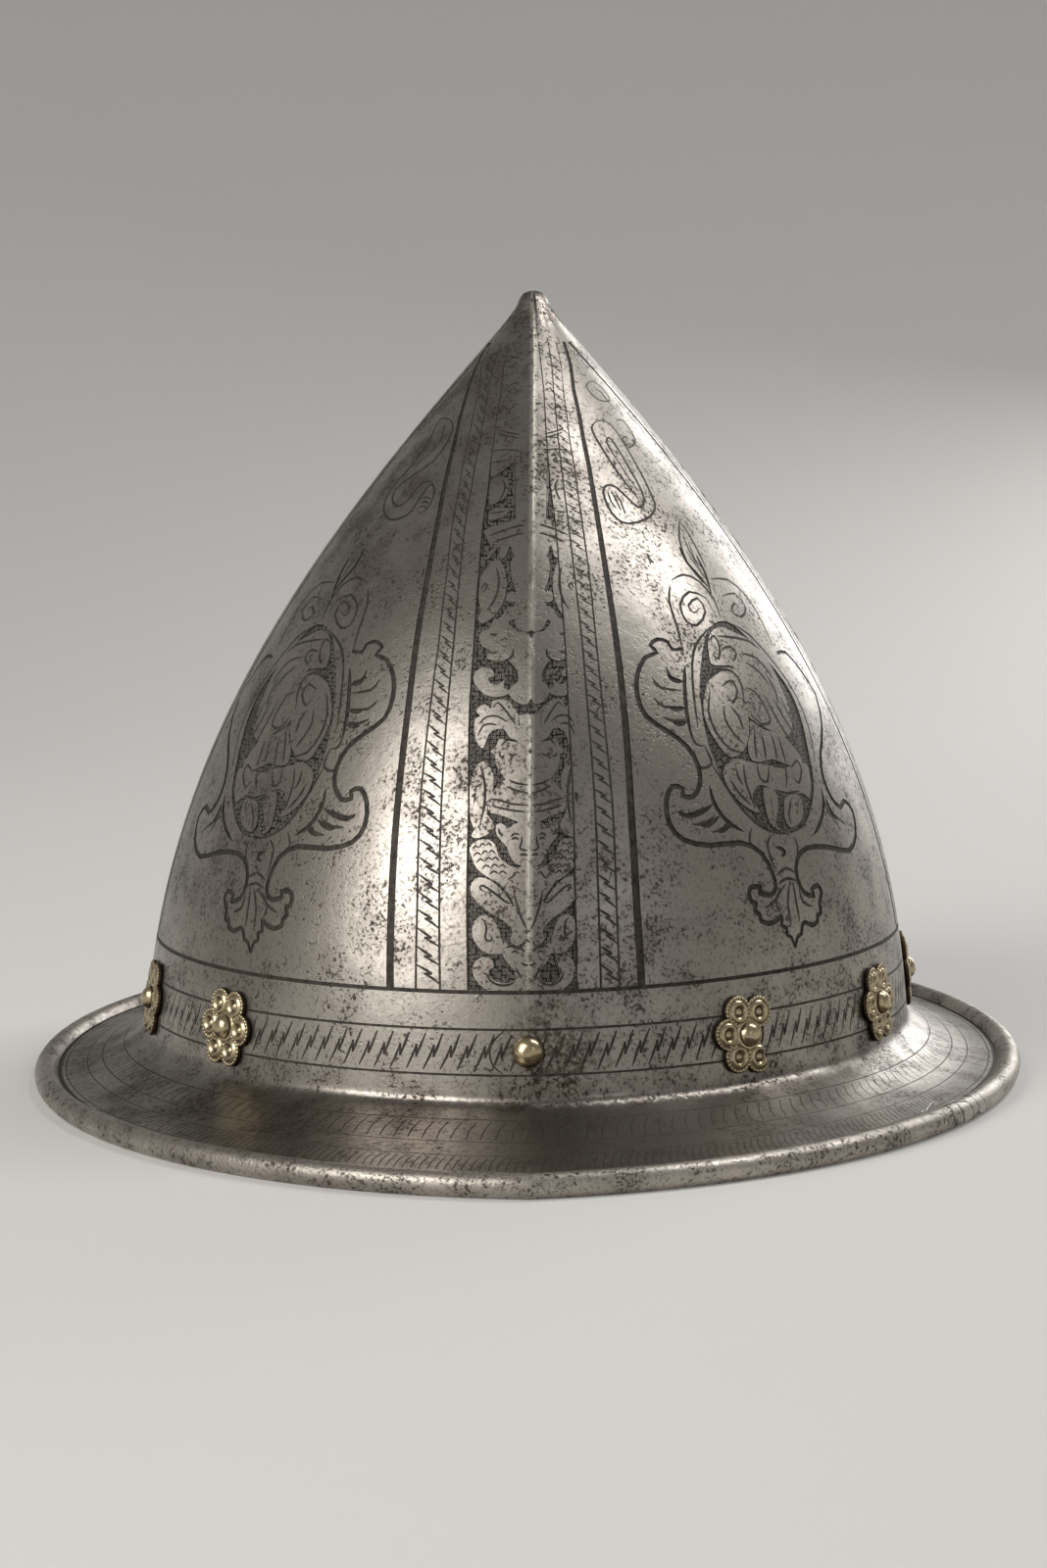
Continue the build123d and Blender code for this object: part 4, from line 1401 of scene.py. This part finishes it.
def steel_material(name, bright, dark, stain, roughness, rust, pitting):
    """Old steel: the bright skin, the dirt in its pits, its rust, its cracks, and a painted highlight on
    its keels.
    """
    made, node, place = new_material(name)
    clouds, blotches, grain, specks, hollows = [
        node("TexNoise", {
            "Vector": place, "Scale": 1 / (size * MM), "Detail": detail, "Roughness": rough,
        }) for size, detail, rough in steel_patterns
    ]
    cloudy = node("MapRange", [clouds, 0.42, 0.68])
    blotchy = node("MapRange", [blotches, 0.46, 0.66])
    pits = node("MapRange", [grain, 0.52, 0.66])
    specks = node("MapRange", [specks, 0.52, 0.62])
    dirt = node("Math", [pits, specks], operation="ADD")
    crowding = node("Math", [blotchy, 0.4], operation="ADD")
    dirt = node("Math", [dirt, crowding], operation="MULTIPLY")
    dirt = layered(node, (dirt, 0.7), (cloudy, 0.3), (blotchy, 0.22))
    dirty = node("MapRange", [dirt, 0.0, 1.0, 0.0, 0.9])
    rusty = node("Math", [rust_share(node, place, blotches, grain), rust], operation="MULTIPLY")
    stained = node("Math", [cloudy, 0.12], operation="MULTIPLY")
    rusty = node("Math", [rusty, stained], operation="MAXIMUM")
    keel_highlight = keel_highlight_share(node, grain)
    crack = crack_share(node, place)
    colour = hex_colour(bright)
    # the pale mix along the keels (d2ccc2) is a painted highlight; the other mixes are dirt, rust and
    # cracks
    for share, shade in ((dirty, dark), (rusty, stain), (keel_highlight, "d2ccc2"), (crack, "1c1814")):
        colour = node("Mix", {0: share, 6: colour, 7: hex_colour(shade)}, 2, data_type="RGBA")
    rough = layered(node, (dirt, 0.6), (clouds, 0.5))
    rough = node("MapRange", [rough, 0.1, 0.9, roughness, roughness + 0.25])
    filled = node("Math", [dirt, 0.6], operation="MULTIPLY")
    hollows = node("Math", [hollows, filled], operation="SUBTRACT")
    whole = node("Math", [1.0, crack], operation="SUBTRACT")
    skin = dented(node, place, 32.0, 2, 0.5, 0.9, 0.5)     # slow waves left by the hammer
    finer = (hollows, pitting, 0.6), (grain, pitting, 0.5), (whole, crack_depth, 0.8)
    for height, depth, strength in finer:
        skin = node("Bump", {
            "Height": height, "Distance": depth * MM, "Strength": strength, "Normal": skin,
        })
    finish_surface(node, Base_Color=colour, Metallic=1.0, Roughness=rough, Normal=skin)
    return made


def line_material():
    """The floor of an etched line: bitten, blackened steel."""
    made, node, place = new_material("etched_line")
    colour = shaded(node, place, 1.5, 5, 0.65, 0.35, 0.68, "1a1613", "49423a")
    finish_surface(node, Base_Color=colour, Metallic=0.4, Roughness=0.6)
    return made


def ground_material():
    """The stippled ground of the figures: blackened steel covered with small bright rings."""
    made, node, place = new_material("stippled_ground")
    sheet = node("UVMap", uv_map="sheet_mm")
    cells = node(
        "TexVoronoi", {"Vector": sheet, "Scale": 1 / stipple_gap, "Randomness": 0.55},
        voronoi_dimensions="2D", feature="F1",
    )
    inner = node("MapRange", [cells, 0.16, 0.24])
    outer = node("MapRange", [cells, 0.44, 0.36])
    ring = node("Math", [inner, outer], operation="MULTIPLY")
    worn = node("TexNoise", {
        "Vector": place, "Scale": 1 / (3.0 * MM), "Detail": 3, "Roughness": 0.55,
    })
    worn = node("MapRange", [worn, 0.3, 0.6, 0.35, 0.85])
    ring = node("Math", [ring, worn], operation="MULTIPLY")
    colours = {0: ring, 6: hex_colour("1b1815"), 7: hex_colour("8b847b")}
    colour = node("Mix", colours, 2, data_type="RGBA")
    skin = node("Bump", {"Height": ring, "Distance": stipple_height * MM, "Strength": 0.7})
    finish_surface(node, Base_Color=colour, Metallic=0.6, Roughness=0.5, Normal=skin)
    return made


def inside_material():
    """The plate's inside: hammer-rough and brown-black."""
    made, node, place = new_material("plate_inside")
    colour = shaded(node, place, 20.0, 6, 0.6, 0.35, 0.7, "3a332c", "66594b")
    blows = node("TexVoronoi", {"Vector": place, "Scale": 1 / (12.0 * MM)}, feature="SMOOTH_F1")
    skin = node("Bump", {"Height": blows, "Distance": 0.8 * MM, "Strength": 0.5})
    skin = dented(node, place, 2.0, 4, 0.55, 0.1, 0.6, skin)
    finish_surface(node, Base_Color=colour, Metallic=0.8, Roughness=0.55, Normal=skin)
    return made


def finish_piece(piece, materials, slot, *nodes):
    """Gives a finished piece its materials and its body, and hides the CAD nodes it stands for. The slot is
    not used.
    """
    for made in materials:
        piece.data.materials.append(made)
    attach(piece, "root")
    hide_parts(*nodes)


worn_steel = steel_material("worn_steel", "a8a29a", "3f3832", "3b2c21", 0.26, 1.0, 0.12)
rim_steel = steel_material("rim_steel", "bdb6ad", "4a443d", "3b2c21", 0.34, 0.4, 0.3)
plate_materials = (worn_steel, line_material(), ground_material(), rim_steel, inside_material())
finish_piece(build_plate(), plate_materials, "steel", "skull")

# Rim wire
# A drawn iron wire, dark from the forge, that the plate's edge is rolled round. It shows only through
# the open seam below, so the CAD solid stays as it is.


def iron_material(name, tint):
    """Forge-dark iron with a fine scale on it."""
    made, node, place = new_material(name)
    colour = shaded(node, place, 3.0, 5, 0.6, 0.35, 0.7, "2b2724", tint)
    skin = dented(node, place, 1.5, 4, 0.6, 0.1, 0.6)
    finish_surface(node, Base_Color=colour, Metallic=0.9, Roughness=0.5, Normal=skin)
    return made


rim_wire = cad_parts["rim_wire"]
rim_wire.data.materials.clear()
rim_wire.data.materials.append(iron_material("wire_iron", "77706a"))

# Rivets, rosettes and roves
# Twelve brass rivets go through the plate, the leather band and an iron rove, and are peened over
# inside. All but the front one hold a cast brass rosette with six petals against the plate.
rivet_height = 22.0
bare_rivet = 0               # the front one, which has lost its rosette
broken_rosette = 1           # the next one to the viewer's right, which has lost a petal
rivet_place_shares = (0.0, 0.352, 0.693, 1.0, 1.31, 1.65, 2.0, 2.31, 2.59, 2.87, 3.17, 3.467)
shank_radius = 1.5
head_radius = 2.85
head_height = 2.1
bare_head_radius = 3.6
bare_head_height = 2.9
peened_radius = 2.3
peened_height = 1.0
seat_clearance = 0.12
keel_bed = 0.6
rosette_thickness = 0.6
boss_height = 0.5
petal_count = 6
petal_radius = 3.7
petal_set_out = 5.9
petal_ripples = 22
rove_radius = 4.2
rove_thickness = 0.9
band_thickness = 2.0
band_foot = 15.5
band_top = 33.0
band_clearance = 0.25
band_butt_gap = 0.8


def brass_material():
    """Cast brass with a brown tarnish in its hollows, rubbed bright on what stands up."""
    made, node, place = new_material("brass")
    worn = node("Attribute", out="Fac", attribute_name="worn")
    patches = node("TexNoise", {
        "Vector": place, "Scale": 1 / (4.5 * MM), "Detail": 4, "Roughness": 0.6,
    })
    patches = node("Math", [patches, 0.5], operation="MULTIPLY")
    bright = node("Math", [worn, patches], operation="ADD")
    bright = node("MapRange", [bright, 0.45, 0.95])
    colours = {0: bright, 6: hex_colour("43382a"), 7: hex_colour("b4a688")}
    colour = node("Mix", colours, 2, data_type="RGBA")
    rough = node("MapRange", [bright, 0.0, 1.0, 0.55, 0.27])
    skin = dented(node, place, 1.2, 4, 0.6, 0.06, 0.5)
    finish_surface(node, Base_Color=colour, Metallic=1.0, Roughness=rough, Normal=skin)
    return made


brass = brass_material()
rove_iron = iron_material("rove_iron", "6b645c")


def object_from(shape, name):
    """An object in the scene from a bmesh, with smooth faces."""
    mesh = bpy.data.meshes.new(name)
    for face in shape.faces:
        face.smooth = True
    shape.normal_update()
    shape.to_mesh(mesh)
    shape.free()
    made = bpy.data.objects.new(name, mesh)
    bpy.context.scene.collection.objects.link(made)
    return made


def spun(profile, steps=48):
    """A bmesh of a profile of (radius, height) points in millimetres, spun round Z."""
    shape = bmesh.new()
    corners = [shape.verts.new((radius * MM, 0, height * MM)) for radius, height in profile]
    edges = [shape.edges.new(pair) for pair in zip(corners, corners[1:])]
    bmesh.ops.spin(
        shape, geom=corners + edges, axis=(0, 0, 1), cent=(0, 0, 0), angle=math.tau, steps=steps,
        use_merge=True,
    )
    bmesh.ops.remove_doubles(shape, verts=shape.verts, dist=1e-7)
    bmesh.ops.recalc_face_normals(shape, faces=shape.faces)
    return shape


def sharpen(shape, angle):
    """Creases every edge that turns by more than an angle."""
    for edge in shape.edges:
        edge.smooth = not (len(edge.link_faces) == 2 and edge.calc_face_angle(0) > math.radians(angle))


def join(shapes):
    """One bmesh from several."""
    whole = bmesh.new()
    for shape in shapes:
        part = bpy.data.meshes.new("part")
        shape.to_mesh(part)
        shape.free()
        whole.from_mesh(part)
        bpy.data.meshes.remove(part)
    return whole


def rivet_frame(share):
    """Where a rivet goes through the plate: its own axes, with Z outwards."""
    turn = [share * 90.0]
    rise = [rivet_height]
    spot = Vector(on_plate(turn, rise)[0][0]) * MM
    out = Vector(outwards(turn, rise)[0])
    if share % 2 == 0:
        out = Vector((0, out.y, out.z)).normalized()
    across = Vector((0, 0, 1)).cross(out).normalized()
    upright = out.cross(across)
    turned = Matrix((across, upright, out)).transposed().to_4x4()
    return Matrix.Translation(spot) @ turned


def dome(radius, height, seat):
    """A low dome's profile from its top to its edge."""
    ball = (radius**2 + height**2) / (2 * height)
    spread = math.asin(radius / ball)
    angles = [spread * n / 8 for n in range(9)]
    return [(ball * math.sin(a), seat + height - ball + ball * math.cos(a)) for a in angles]


def mark_wear(piece, worn_of):
    """Stores how rubbed each vertex is, as the brass shader reads it."""
    attribute = piece.data.attributes.new("worn", "FLOAT", "POINT")
    for vertex in piece.data.vertices:
        attribute.data[vertex.index].value = worn_of(vertex.co)


def build_rivet(number, share):
    """A domed head, hammered a little flat at its top, on its shank and peened end."""
    bare = number == bare_rivet
    radius, height = (bare_head_radius, bare_head_height) if bare else (head_radius, head_height)
    seat = seat_clearance if bare else rosette_thickness + boss_height + 2 * seat_clearance
    bed = keel_bed if share % 2 == 0 else 0
    floor = -(wall + band_clearance + band_thickness + bed + rove_thickness + 2 * seat_clearance)
    foot = floor - peened_height
    profile = dome(radius, height, seat) + [
        (shank_radius, seat), (shank_radius, floor), (peened_radius * 0.98, floor - 0.05),
        (peened_radius, floor - 0.25), (peened_radius * 0.75, foot + 0.2), (shank_radius * 0.6, foot),
        (0, foot),
    ]
    shape = spun(profile)
    for vertex in shape.verts:
        if vertex.co.z > (seat + 0.1) * MM:
            push = 0.1 * MM * math.sin(vertex.co.x * 900 + number) * math.sin(vertex.co.y * 1100 - number)
            vertex.co.z += push - 0.0001 * (vertex.co.z > (seat + height * 0.93) * MM)
    sharpen(shape, 50)
    piece = object_from(shape, f"brass_rivet_{number + 1:02d}")
    mark_wear(piece, lambda co: 0.75 if co.z > (seat + 0.4) * MM else 0.1)
    piece.data.transform(rivet_frame(share))
    finish_piece(piece, (brass,), "brass", f"rivet_{number + 1:02d}")


def build_petal(angle):
    """One petal: a milled edge, a raised ring and a small bead in its dished middle."""
    shape = spun([
        (0, 1.22), (0.5, 1.14), (0.85, 0.86), (1.1, 0.7), (1.4, 0.95), (1.75, 1.32), (2.15, 1.34),
        (2.5, 1.05), (2.75, 0.78), (2.95, 0.78), (3.2, 1.0), (3.5, 0.9), (petal_radius, 0.55),
        (petal_radius, 0), (0, 0),
    ], 88)
    for vertex in shape.verts:
        reach = math.hypot(vertex.co.x, vertex.co.y) / MM
        if reach > 2.9 and vertex.co.z > 0.3 * MM:
            way = math.atan2(vertex.co.y, vertex.co.x)
            vertex.co.z += 0.13 * MM * math.cos(petal_ripples * way)
    sharpen(shape, 60)
    shift = Vector((math.cos(angle), math.sin(angle), 0)) * petal_set_out * MM
    bmesh.ops.translate(shape, verts=shape.verts, vec=shift)
    return shape


def build_rosette(number, share):
    """Six petals round a raised seat. The second rosette has lost one petal and part of the next."""
    top = rosette_thickness + boss_height
    seat = spun([
        (shank_radius + 0.1, top), (3.0, top), (3.5, top - 0.1), (3.9, rosette_thickness), (4.6, 0.5),
        (4.9, 0), (shank_radius + 0.1, 0), (shank_radius + 0.1, top),
    ], 64)
    sharpen(seat, 50)
    broken = number == broken_rosette
    petals = [n for n in range(petal_count) if not (broken and n == 0)]
    shapes = [build_petal(math.tau * n / petal_count) for n in petals]
    if broken:
        last = shapes[-1]
        cut = bmesh.ops.bisect_plane(
            last, geom=last.verts[:] + last.edges[:] + last.faces[:], plane_co=(4.3 * MM, -4.6 * MM, 0),
            plane_no=(0.9, 0.35, 0), clear_outer=True,
        )["geom_cut"]
        bmesh.ops.edgenet_fill(last, edges=[g for g in cut if isinstance(g, bmesh.types.BMEdge)])
    shape = join([seat] + shapes)
    piece = object_from(shape, f"brass_rosette_{number + 1:02d}")
    mark_wear(piece, lambda co: max(0.0, min(1.0, (co.z / MM - 0.6) * 2.2)))
    lean = math.radians(-5) if broken else math.radians(random.uniform(-4, 4))
    seat_back = Matrix.Translation((0, 0, seat_clearance * MM))
    piece.data.transform(rivet_frame(share) @ seat_back @ Matrix.Rotation(lean, 4, "Z"))
    finish_piece(piece, (brass,), "brass", f"rosette_{number + 1:02d}")


def build_rove(number, share):
    """A small iron washer, cut from sheet and hammered."""
    bed = keel_bed if share % 2 == 0 else 0
    top = -(wall + band_clearance + band_thickness + bed + seat_clearance)
    hole = shank_radius + 0.1
    shape = spun([
        (hole, top), (rove_radius - 0.2, top), (rove_radius, top - 0.2), (rove_radius - 0.1, top - 0.7),
        (rove_radius - 0.35, top - rove_thickness), (hole, top - rove_thickness), (hole, top),
    ], 40)
    sharpen(shape, 40)
    piece = object_from(shape, f"iron_rove_{number + 1:02d}")
    piece.data.transform(rivet_frame(share))
    finish_piece(piece, (rove_iron,), "iron", f"rove_{number + 1:02d}")


for number, share in enumerate(rivet_place_shares):
    build_rivet(number, share)
    build_rove(number, share)
    if number != bare_rivet:
        build_rosette(number, share)

# Leather band
# A strip of leather round the inside of the base, butted at the rear. The rivets hold it, and the
# lining is sewn to its upper edge with linen thread.
band_columns = 240
stitch_count = 118
stitch_drop = 3.4
thread_scale = 0.33          # in the wave texture's own measure, which sets a thread every 0.95 mm


def leather_material():
    """Dry undyed leather with a pebbled grain."""
    made, node, place = new_material("band_leather")
    colour = shaded(node, place, 12.0, 5, 0.6, 0.35, 0.7, "4a2f1c", "7a5435")
    pebbles = node("TexVoronoi", {"Vector": place, "Scale": 1 / (1.1 * MM)})
    skin = node("Bump", {"Height": pebbles, "Distance": 0.12 * MM, "Strength": 0.5})
    finish_surface(node, Base_Color=colour, Roughness=0.72, Normal=skin)
    return made


def linen_material(name, light, dark):
    """Unbleached plain-woven linen, with the threads of warp and weft."""
    made, node, place = new_material(name)
    cloth = node("UVMap", uv_map="cloth_mm")
    warp, weft = [
        node(
            "TexWave", {"Vector": cloth, "Scale": thread_scale, "Distortion": 0.6, "Detail": 2.0},
            "Fac", wave_type="BANDS", bands_direction=direction,
        ) for direction in "XY"
    ]
    weave = node("Math", [warp, weft], operation="MULTIPLY")
    sheen = node("Math", [weave, 0.35], operation="MULTIPLY")
    colour = shaded(node, place, 25.0, 6, 0.6, 0.3, 0.72, light, dark)
    colours = {0: sheen, 6: colour, 7: hex_colour("efe4cb")}
    colour = node("Mix", colours, 2, data_type="RGBA")
    skin = node("Bump", {"Height": weave, "Distance": 0.12 * MM, "Strength": 0.6})
    finish_surface(node, Base_Color=colour, Roughness=0.88, Normal=skin)
    return made


def band_gap_turns():
    """The turns at which the band's two ends stand, either side of the rear."""
    rise = (band_foot + band_top) / 2
    half = band_butt_gap / 2 / scale_at(np.array([[180.5, rise]]))[0, 0]
    return 180 + half, 540 - half


def inside_point(turn, height, depth):
    """A point at a depth under the plate's outside, square to it."""
    turn = np.asarray(turn, float)
    height = np.asarray(height, float)
    place = on_plate(turn % 360, height)[0]
    return place - outwards(turn % 360, height) * np.asarray(depth, float)[:, None]


def build_band():
    """The strip as one closed loop of section, with its edges rounded and its ends closed."""
    outer = wall + band_clearance
    inner = outer + band_thickness
    soft = 0.5
    section = [
        (band_foot + soft, outer), (band_top - soft, outer), (band_top, outer + soft),
        (band_top, inner - soft), (band_top - soft, inner), (band_foot + soft, inner),
        (band_foot, inner - soft), (band_foot, outer + soft),
    ]
    rows = []
    for (z0, d0), (z1, d1) in zip(section, section[1:] + section[:1]):
        steps = 6 if abs(z1 - z0) > 5 else 1
        rows += [(z0 + (z1 - z0) * n / steps, d0 + (d1 - d0) * n / steps) for n in range(steps)]
    start, stop = band_gap_turns()
    turns = np.linspace(start, stop, band_columns + 1)
    shape = bmesh.new()
    rings = []
    for turn in turns:
        heights = np.array([z for z, _ in rows])
        depths = np.array([d for _, d in rows])
        wave = 0.12 * math.sin(turn * 0.31) * np.sin(heights * 0.6)
        deeper = np.where(depths > outer + 0.1, depths + wave, depths)
        spots = inside_point(np.full(len(rows), turn), heights, deeper)
        rings.append([shape.verts.new(spot * MM) for spot in spots])
    for left, right in zip(rings, rings[1:]):
        for n in range(len(rows)):
            m = (n + 1) % len(rows)
            shape.faces.new((left[n], left[m], right[m], right[n]))
    shape.faces.new(rings[0][::-1])
    shape.faces.new(rings[-1])
    bmesh.ops.recalc_face_normals(shape, faces=shape.faces)
    sharpen(shape, 60)
    piece = object_from(shape, "leather_band")
    finish_piece(piece, (leather_material(),), "leather", "lining_band")


def build_stitches():
    """The running stitches that hold the lining to the band, each a short rounded stretch of thread."""
    start, stop = band_gap_turns()
    turns = np.linspace(start + 2, stop - 2, stitch_count)
    inner = wall + band_clearance + band_thickness
    shapes = []
    for turn in turns:
        centre = Vector(inside_point([turn], [band_top - stitch_drop], [inner + 0.25])[0]) * MM
        ahead = Vector(inside_point([turn + 1], [band_top - stitch_drop], [inner + 0.25])[0]) * MM
        way = (ahead - centre).normalized()
        shape = bmesh.new()
        bmesh.ops.create_uvsphere(shape, u_segments=10, v_segments=8, radius=0.4 * MM)
        bmesh.ops.scale(shape, verts=shape.verts, vec=(1, 1, 3.4))
        turned = way.to_track_quat("Z", "Y").to_matrix().to_4x4()
        bmesh.ops.transform(shape, matrix=Matrix.Translation(centre) @ turned, verts=shape.verts)
        shapes.append(shape)
    piece = object_from(join(shapes), "lining_stitches")
    piece.data.uv_layers.new(name="cloth_mm")
    thread = linen_material("thread_linen", "8f7f5f", "b3a27c")
    finish_piece(piece, (thread,), "linen", "lining_band")


build_band()
build_stitches()

# Quilted lining
# A linen cap stuffed with tow. Sixteen seams run up to its crown and six go round it, and the cloth
# puffs out between them. Its foot is bound with a narrow tape.
lining_thickness = 5.0
lining_clearance = 0.4
lining_foot = 28.5
lining_crown = 128.0
lining_width_shares = (1.0, 0.97, 0.80, 0.52, 0.05)
lining_height_shares = (0.0, 0.30, 0.68, 1.0, 1.0)
seams_up = 16
seams_round = 7
puff = 1.6
lining_columns = 256
lining_rows = 84


def lining_net(depth):
    """A surface of the cap: its outside at depth 0, its inside at its thickness."""
    stack = wall + band_clearance + band_thickness + lining_clearance
    share = (lining_foot - skull_foot) / (skull_neck - skull_foot)
    foot = bezier(inset(skull_net(), stack), [share])[0][0]
    return [(
        (foot[0] - depth) * width_share,
        (foot[1] - depth) * width_share,
        foot[2],
        foot[3],
        foot[4] * width_share,
        lining_foot + (lining_crown - depth - lining_foot) * height_share,
    ) for width_share, height_share in zip(lining_width_shares, lining_height_shares)]


def seam_depth(turn, share):
    """How far the cloth is pulled in by its seams, from 0 between them to 1 on them."""
    across = np.abs(np.sin(np.radians(turn) * seams_up / 2))
    along = np.abs(np.sin(share * math.pi * seams_round))
    return 1 - np.minimum(across, along)**0.55


def build_lining():
    """Outer and inner cloth, puffed between the seams, joined round the foot."""
    turns = np.linspace(0, 360, lining_columns + 1)[:-1]
    shape = bmesh.new()
    cloth = shape.loops.layers.uv.new("cloth_mm")
    shares = np.linspace(0, 1, lining_rows + 1)
    skins = []
    for depth, sign in ((0.0, 1.0), (lining_thickness, -1.0)):
        rings = bezier(lining_net(depth), shares)[0]
        skin = []
        for ring, share in zip(rings, shares):
            place, across = ring_at(np.tile(ring, (lining_columns, 1)), turns)
            flat = np.stack([across[:, 1], -across[:, 0]], 1)
            flat /= np.maximum(np.linalg.norm(flat, axis=1), 1e-9)[:, None]
            tilt = min(1.0, share * 1.15)
            up = np.full(lining_columns, math.sin(tilt * 1.4))
            out = np.column_stack([flat * math.cos(tilt * 1.4), up])
            pull_in = seam_depth(turns, share) * puff
            pull_in = pull_in * min(1.0, 6 * share + 0.25) * min(1.0, 8 * (1 - share))
            keep = 0.35 if sign > 0 else 1.0
            skin.append([shape.verts.new(v * MM) for v in place - out * (sign * pull_in * keep)[:, None]])
        pole = place.mean(axis=0)
        skins.append((skin, shape.verts.new(Vector(pole) * MM)))
    for (skin, pole), inner in zip(skins, (False, True)):
        for low, high in zip(skin, skin[1:]):
            for n in range(lining_columns):
                m = (n + 1) % lining_columns
                corners = (low[n], low[m], high[m], high[n])
                shape.faces.new(corners[::-1] if inner else corners)
        for n in range(lining_columns):
            m = (n + 1) % lining_columns
            corners = (skin[-1][n], skin[-1][m], pole)
            shape.faces.new(corners[::-1] if inner else corners)
    outer_foot, inner_foot = skins[0][0][0], skins[1][0][0]
    for n in range(lining_columns):
        m = (n + 1) % lining_columns
        shape.faces.new((outer_foot[m], outer_foot[n], inner_foot[n], inner_foot[m]))
    for face in shape.faces:
        for loop in face.loops:
            co = loop.vert.co / MM
            way = math.atan2(co.x, -co.y)
            if face.calc_center_median().x < 0 and way > 2.8:
                way -= math.tau
            loop[cloth].uv = (way * 80, co.z * 1.25)
    piece = object_from(shape, "linen_lining")
    linen = linen_material("lining_linen", "a8987a", "c6b894")
    finish_piece(piece, (linen,), "linen", "quilted_lining")


build_lining()

# Floor and backdrop
# A plain pale cove of matt paper: a round floor that curves up into a wall on every side, as a light tent
# does, so that no edge shows behind the helmet from any side.
floor_radius = 800.0
cove_radius = 1900.0
cove_height = 3200.0
cove_steps = 24
paper_glow = 0.16


def build_cove():
    """The floor, the curve and the wall in one profile, spun round."""
    profile = [(0.0, 0.0), (floor_radius, 0.0)]
    for n in range(1, cove_steps + 1):
        angle = math.pi / 2 * n / cove_steps
        profile.append((floor_radius + cove_radius * math.sin(angle), cove_radius * (1 - math.cos(angle))))
    profile.append((floor_radius + cove_radius, cove_height))
    return object_from(spun(profile, 96), "studio_cove")


def seen_rays(node):
    """1 for rays that look at a surface, 0 for those that only light something."""
    camera_rays, glossy, through = [
        node("LightPath", out=f"Is {ray} Ray") for ray in ("Camera", "Glossy", "Transmission")
    ]
    mirrored = node("Math", [glossy, through], operation="MAXIMUM")
    return node("Math", [camera_rays, mirrored], operation="MAXIMUM")


cove = build_cove()
paper, node, _ = new_material("pale_paper")
glow = node("Math", [seen_rays(node), paper_glow], operation="MULTIPLY")
finish_surface(
    node, Base_Color=hex_colour("d0ceca"), Roughness=0.9, Emission_Color=hex_colour("e4e4e2"),
    Emission_Strength=glow,
)
cove.data.materials.append(paper)

# Lights
# Plain soft studio light: a broad key from the front left, a long soft strip from the rear right that
# draws the bright edge on the helmet's right side, a low softbox behind that lights the brim's right,
# and a weak fill from the right.


def area_light(name, place_m, aim_m, size_m, power, tint="ffffff"):
    """A rectangular soft light that faces a point."""
    lamp = bpy.data.lights.new(name, "AREA")
    lamp.shape = "RECTANGLE"
    lamp.size, lamp.size_y = size_m
    lamp.energy = power
    lamp.color = hex_colour(tint)[:3]
    made = bpy.data.objects.new(name, lamp)
    made.location = place_m
    made.rotation_euler = (Vector(aim_m) - Vector(place_m)).to_track_quat("-Z", "Y").to_euler()
    bpy.context.scene.collection.objects.link(made)


area_light("key_softbox", (-0.88, -0.84, 0.76), (0, 0, 0.08), (0.8, 0.9), 12.2, "fffdfa")
area_light("edge_strip", (0.85, 0.3, 1.3), (0.03, 0, 0.14), (0.22, 1.0), 9.5)
area_light("brim_softbox", (0.68, 1.2, 0.5), (0.05, 0, 0.02), (0.5, 0.8), 4.6)
area_light("fill_softbox", (0.7, -1.14, 0.55), (0, 0, 0.08), (0.6, 0.6), 0.8, "f2f6ff")

room_light_share = 0.45      # the room lights the helmet by this share of what it shows
world = bpy.data.worlds.new("studio")
world.use_nodes = True
sky = world.node_tree.nodes["Background"]
sky.inputs["Color"].default_value = hex_colour("868583")
node = partial(add_node, world.node_tree)
strength = node("MapRange", [seen_rays(node), 0, 1, room_light_share, 1.0])
world.node_tree.links.new(strength, sky.inputs["Strength"])
bpy.context.scene.world = world

# Camera at the photograph's angle
# It stands where the drawing was read from, with the same tilt and roll.
sensor_mm = 36.0
camera_data = bpy.data.cameras.new("camera")
camera_data.sensor_width = sensor_mm
camera_data.lens = focal_px / image_height_px * sensor_mm
camera_data.clip_end = 20
camera = bpy.data.objects.new("camera", camera_data)
upright = Matrix.Rotation(math.pi / 2 - camera_tilt, 4, "X") @ Matrix.Rotation(-camera_roll, 4, "Z")
camera.matrix_world = Matrix.Translation(Vector((0, -camera_distance, camera_height)) * MM) @ upright
bpy.context.scene.collection.objects.link(camera)
bpy.context.scene.camera = camera
bpy.context.scene.view_settings.view_transform = "Standard"
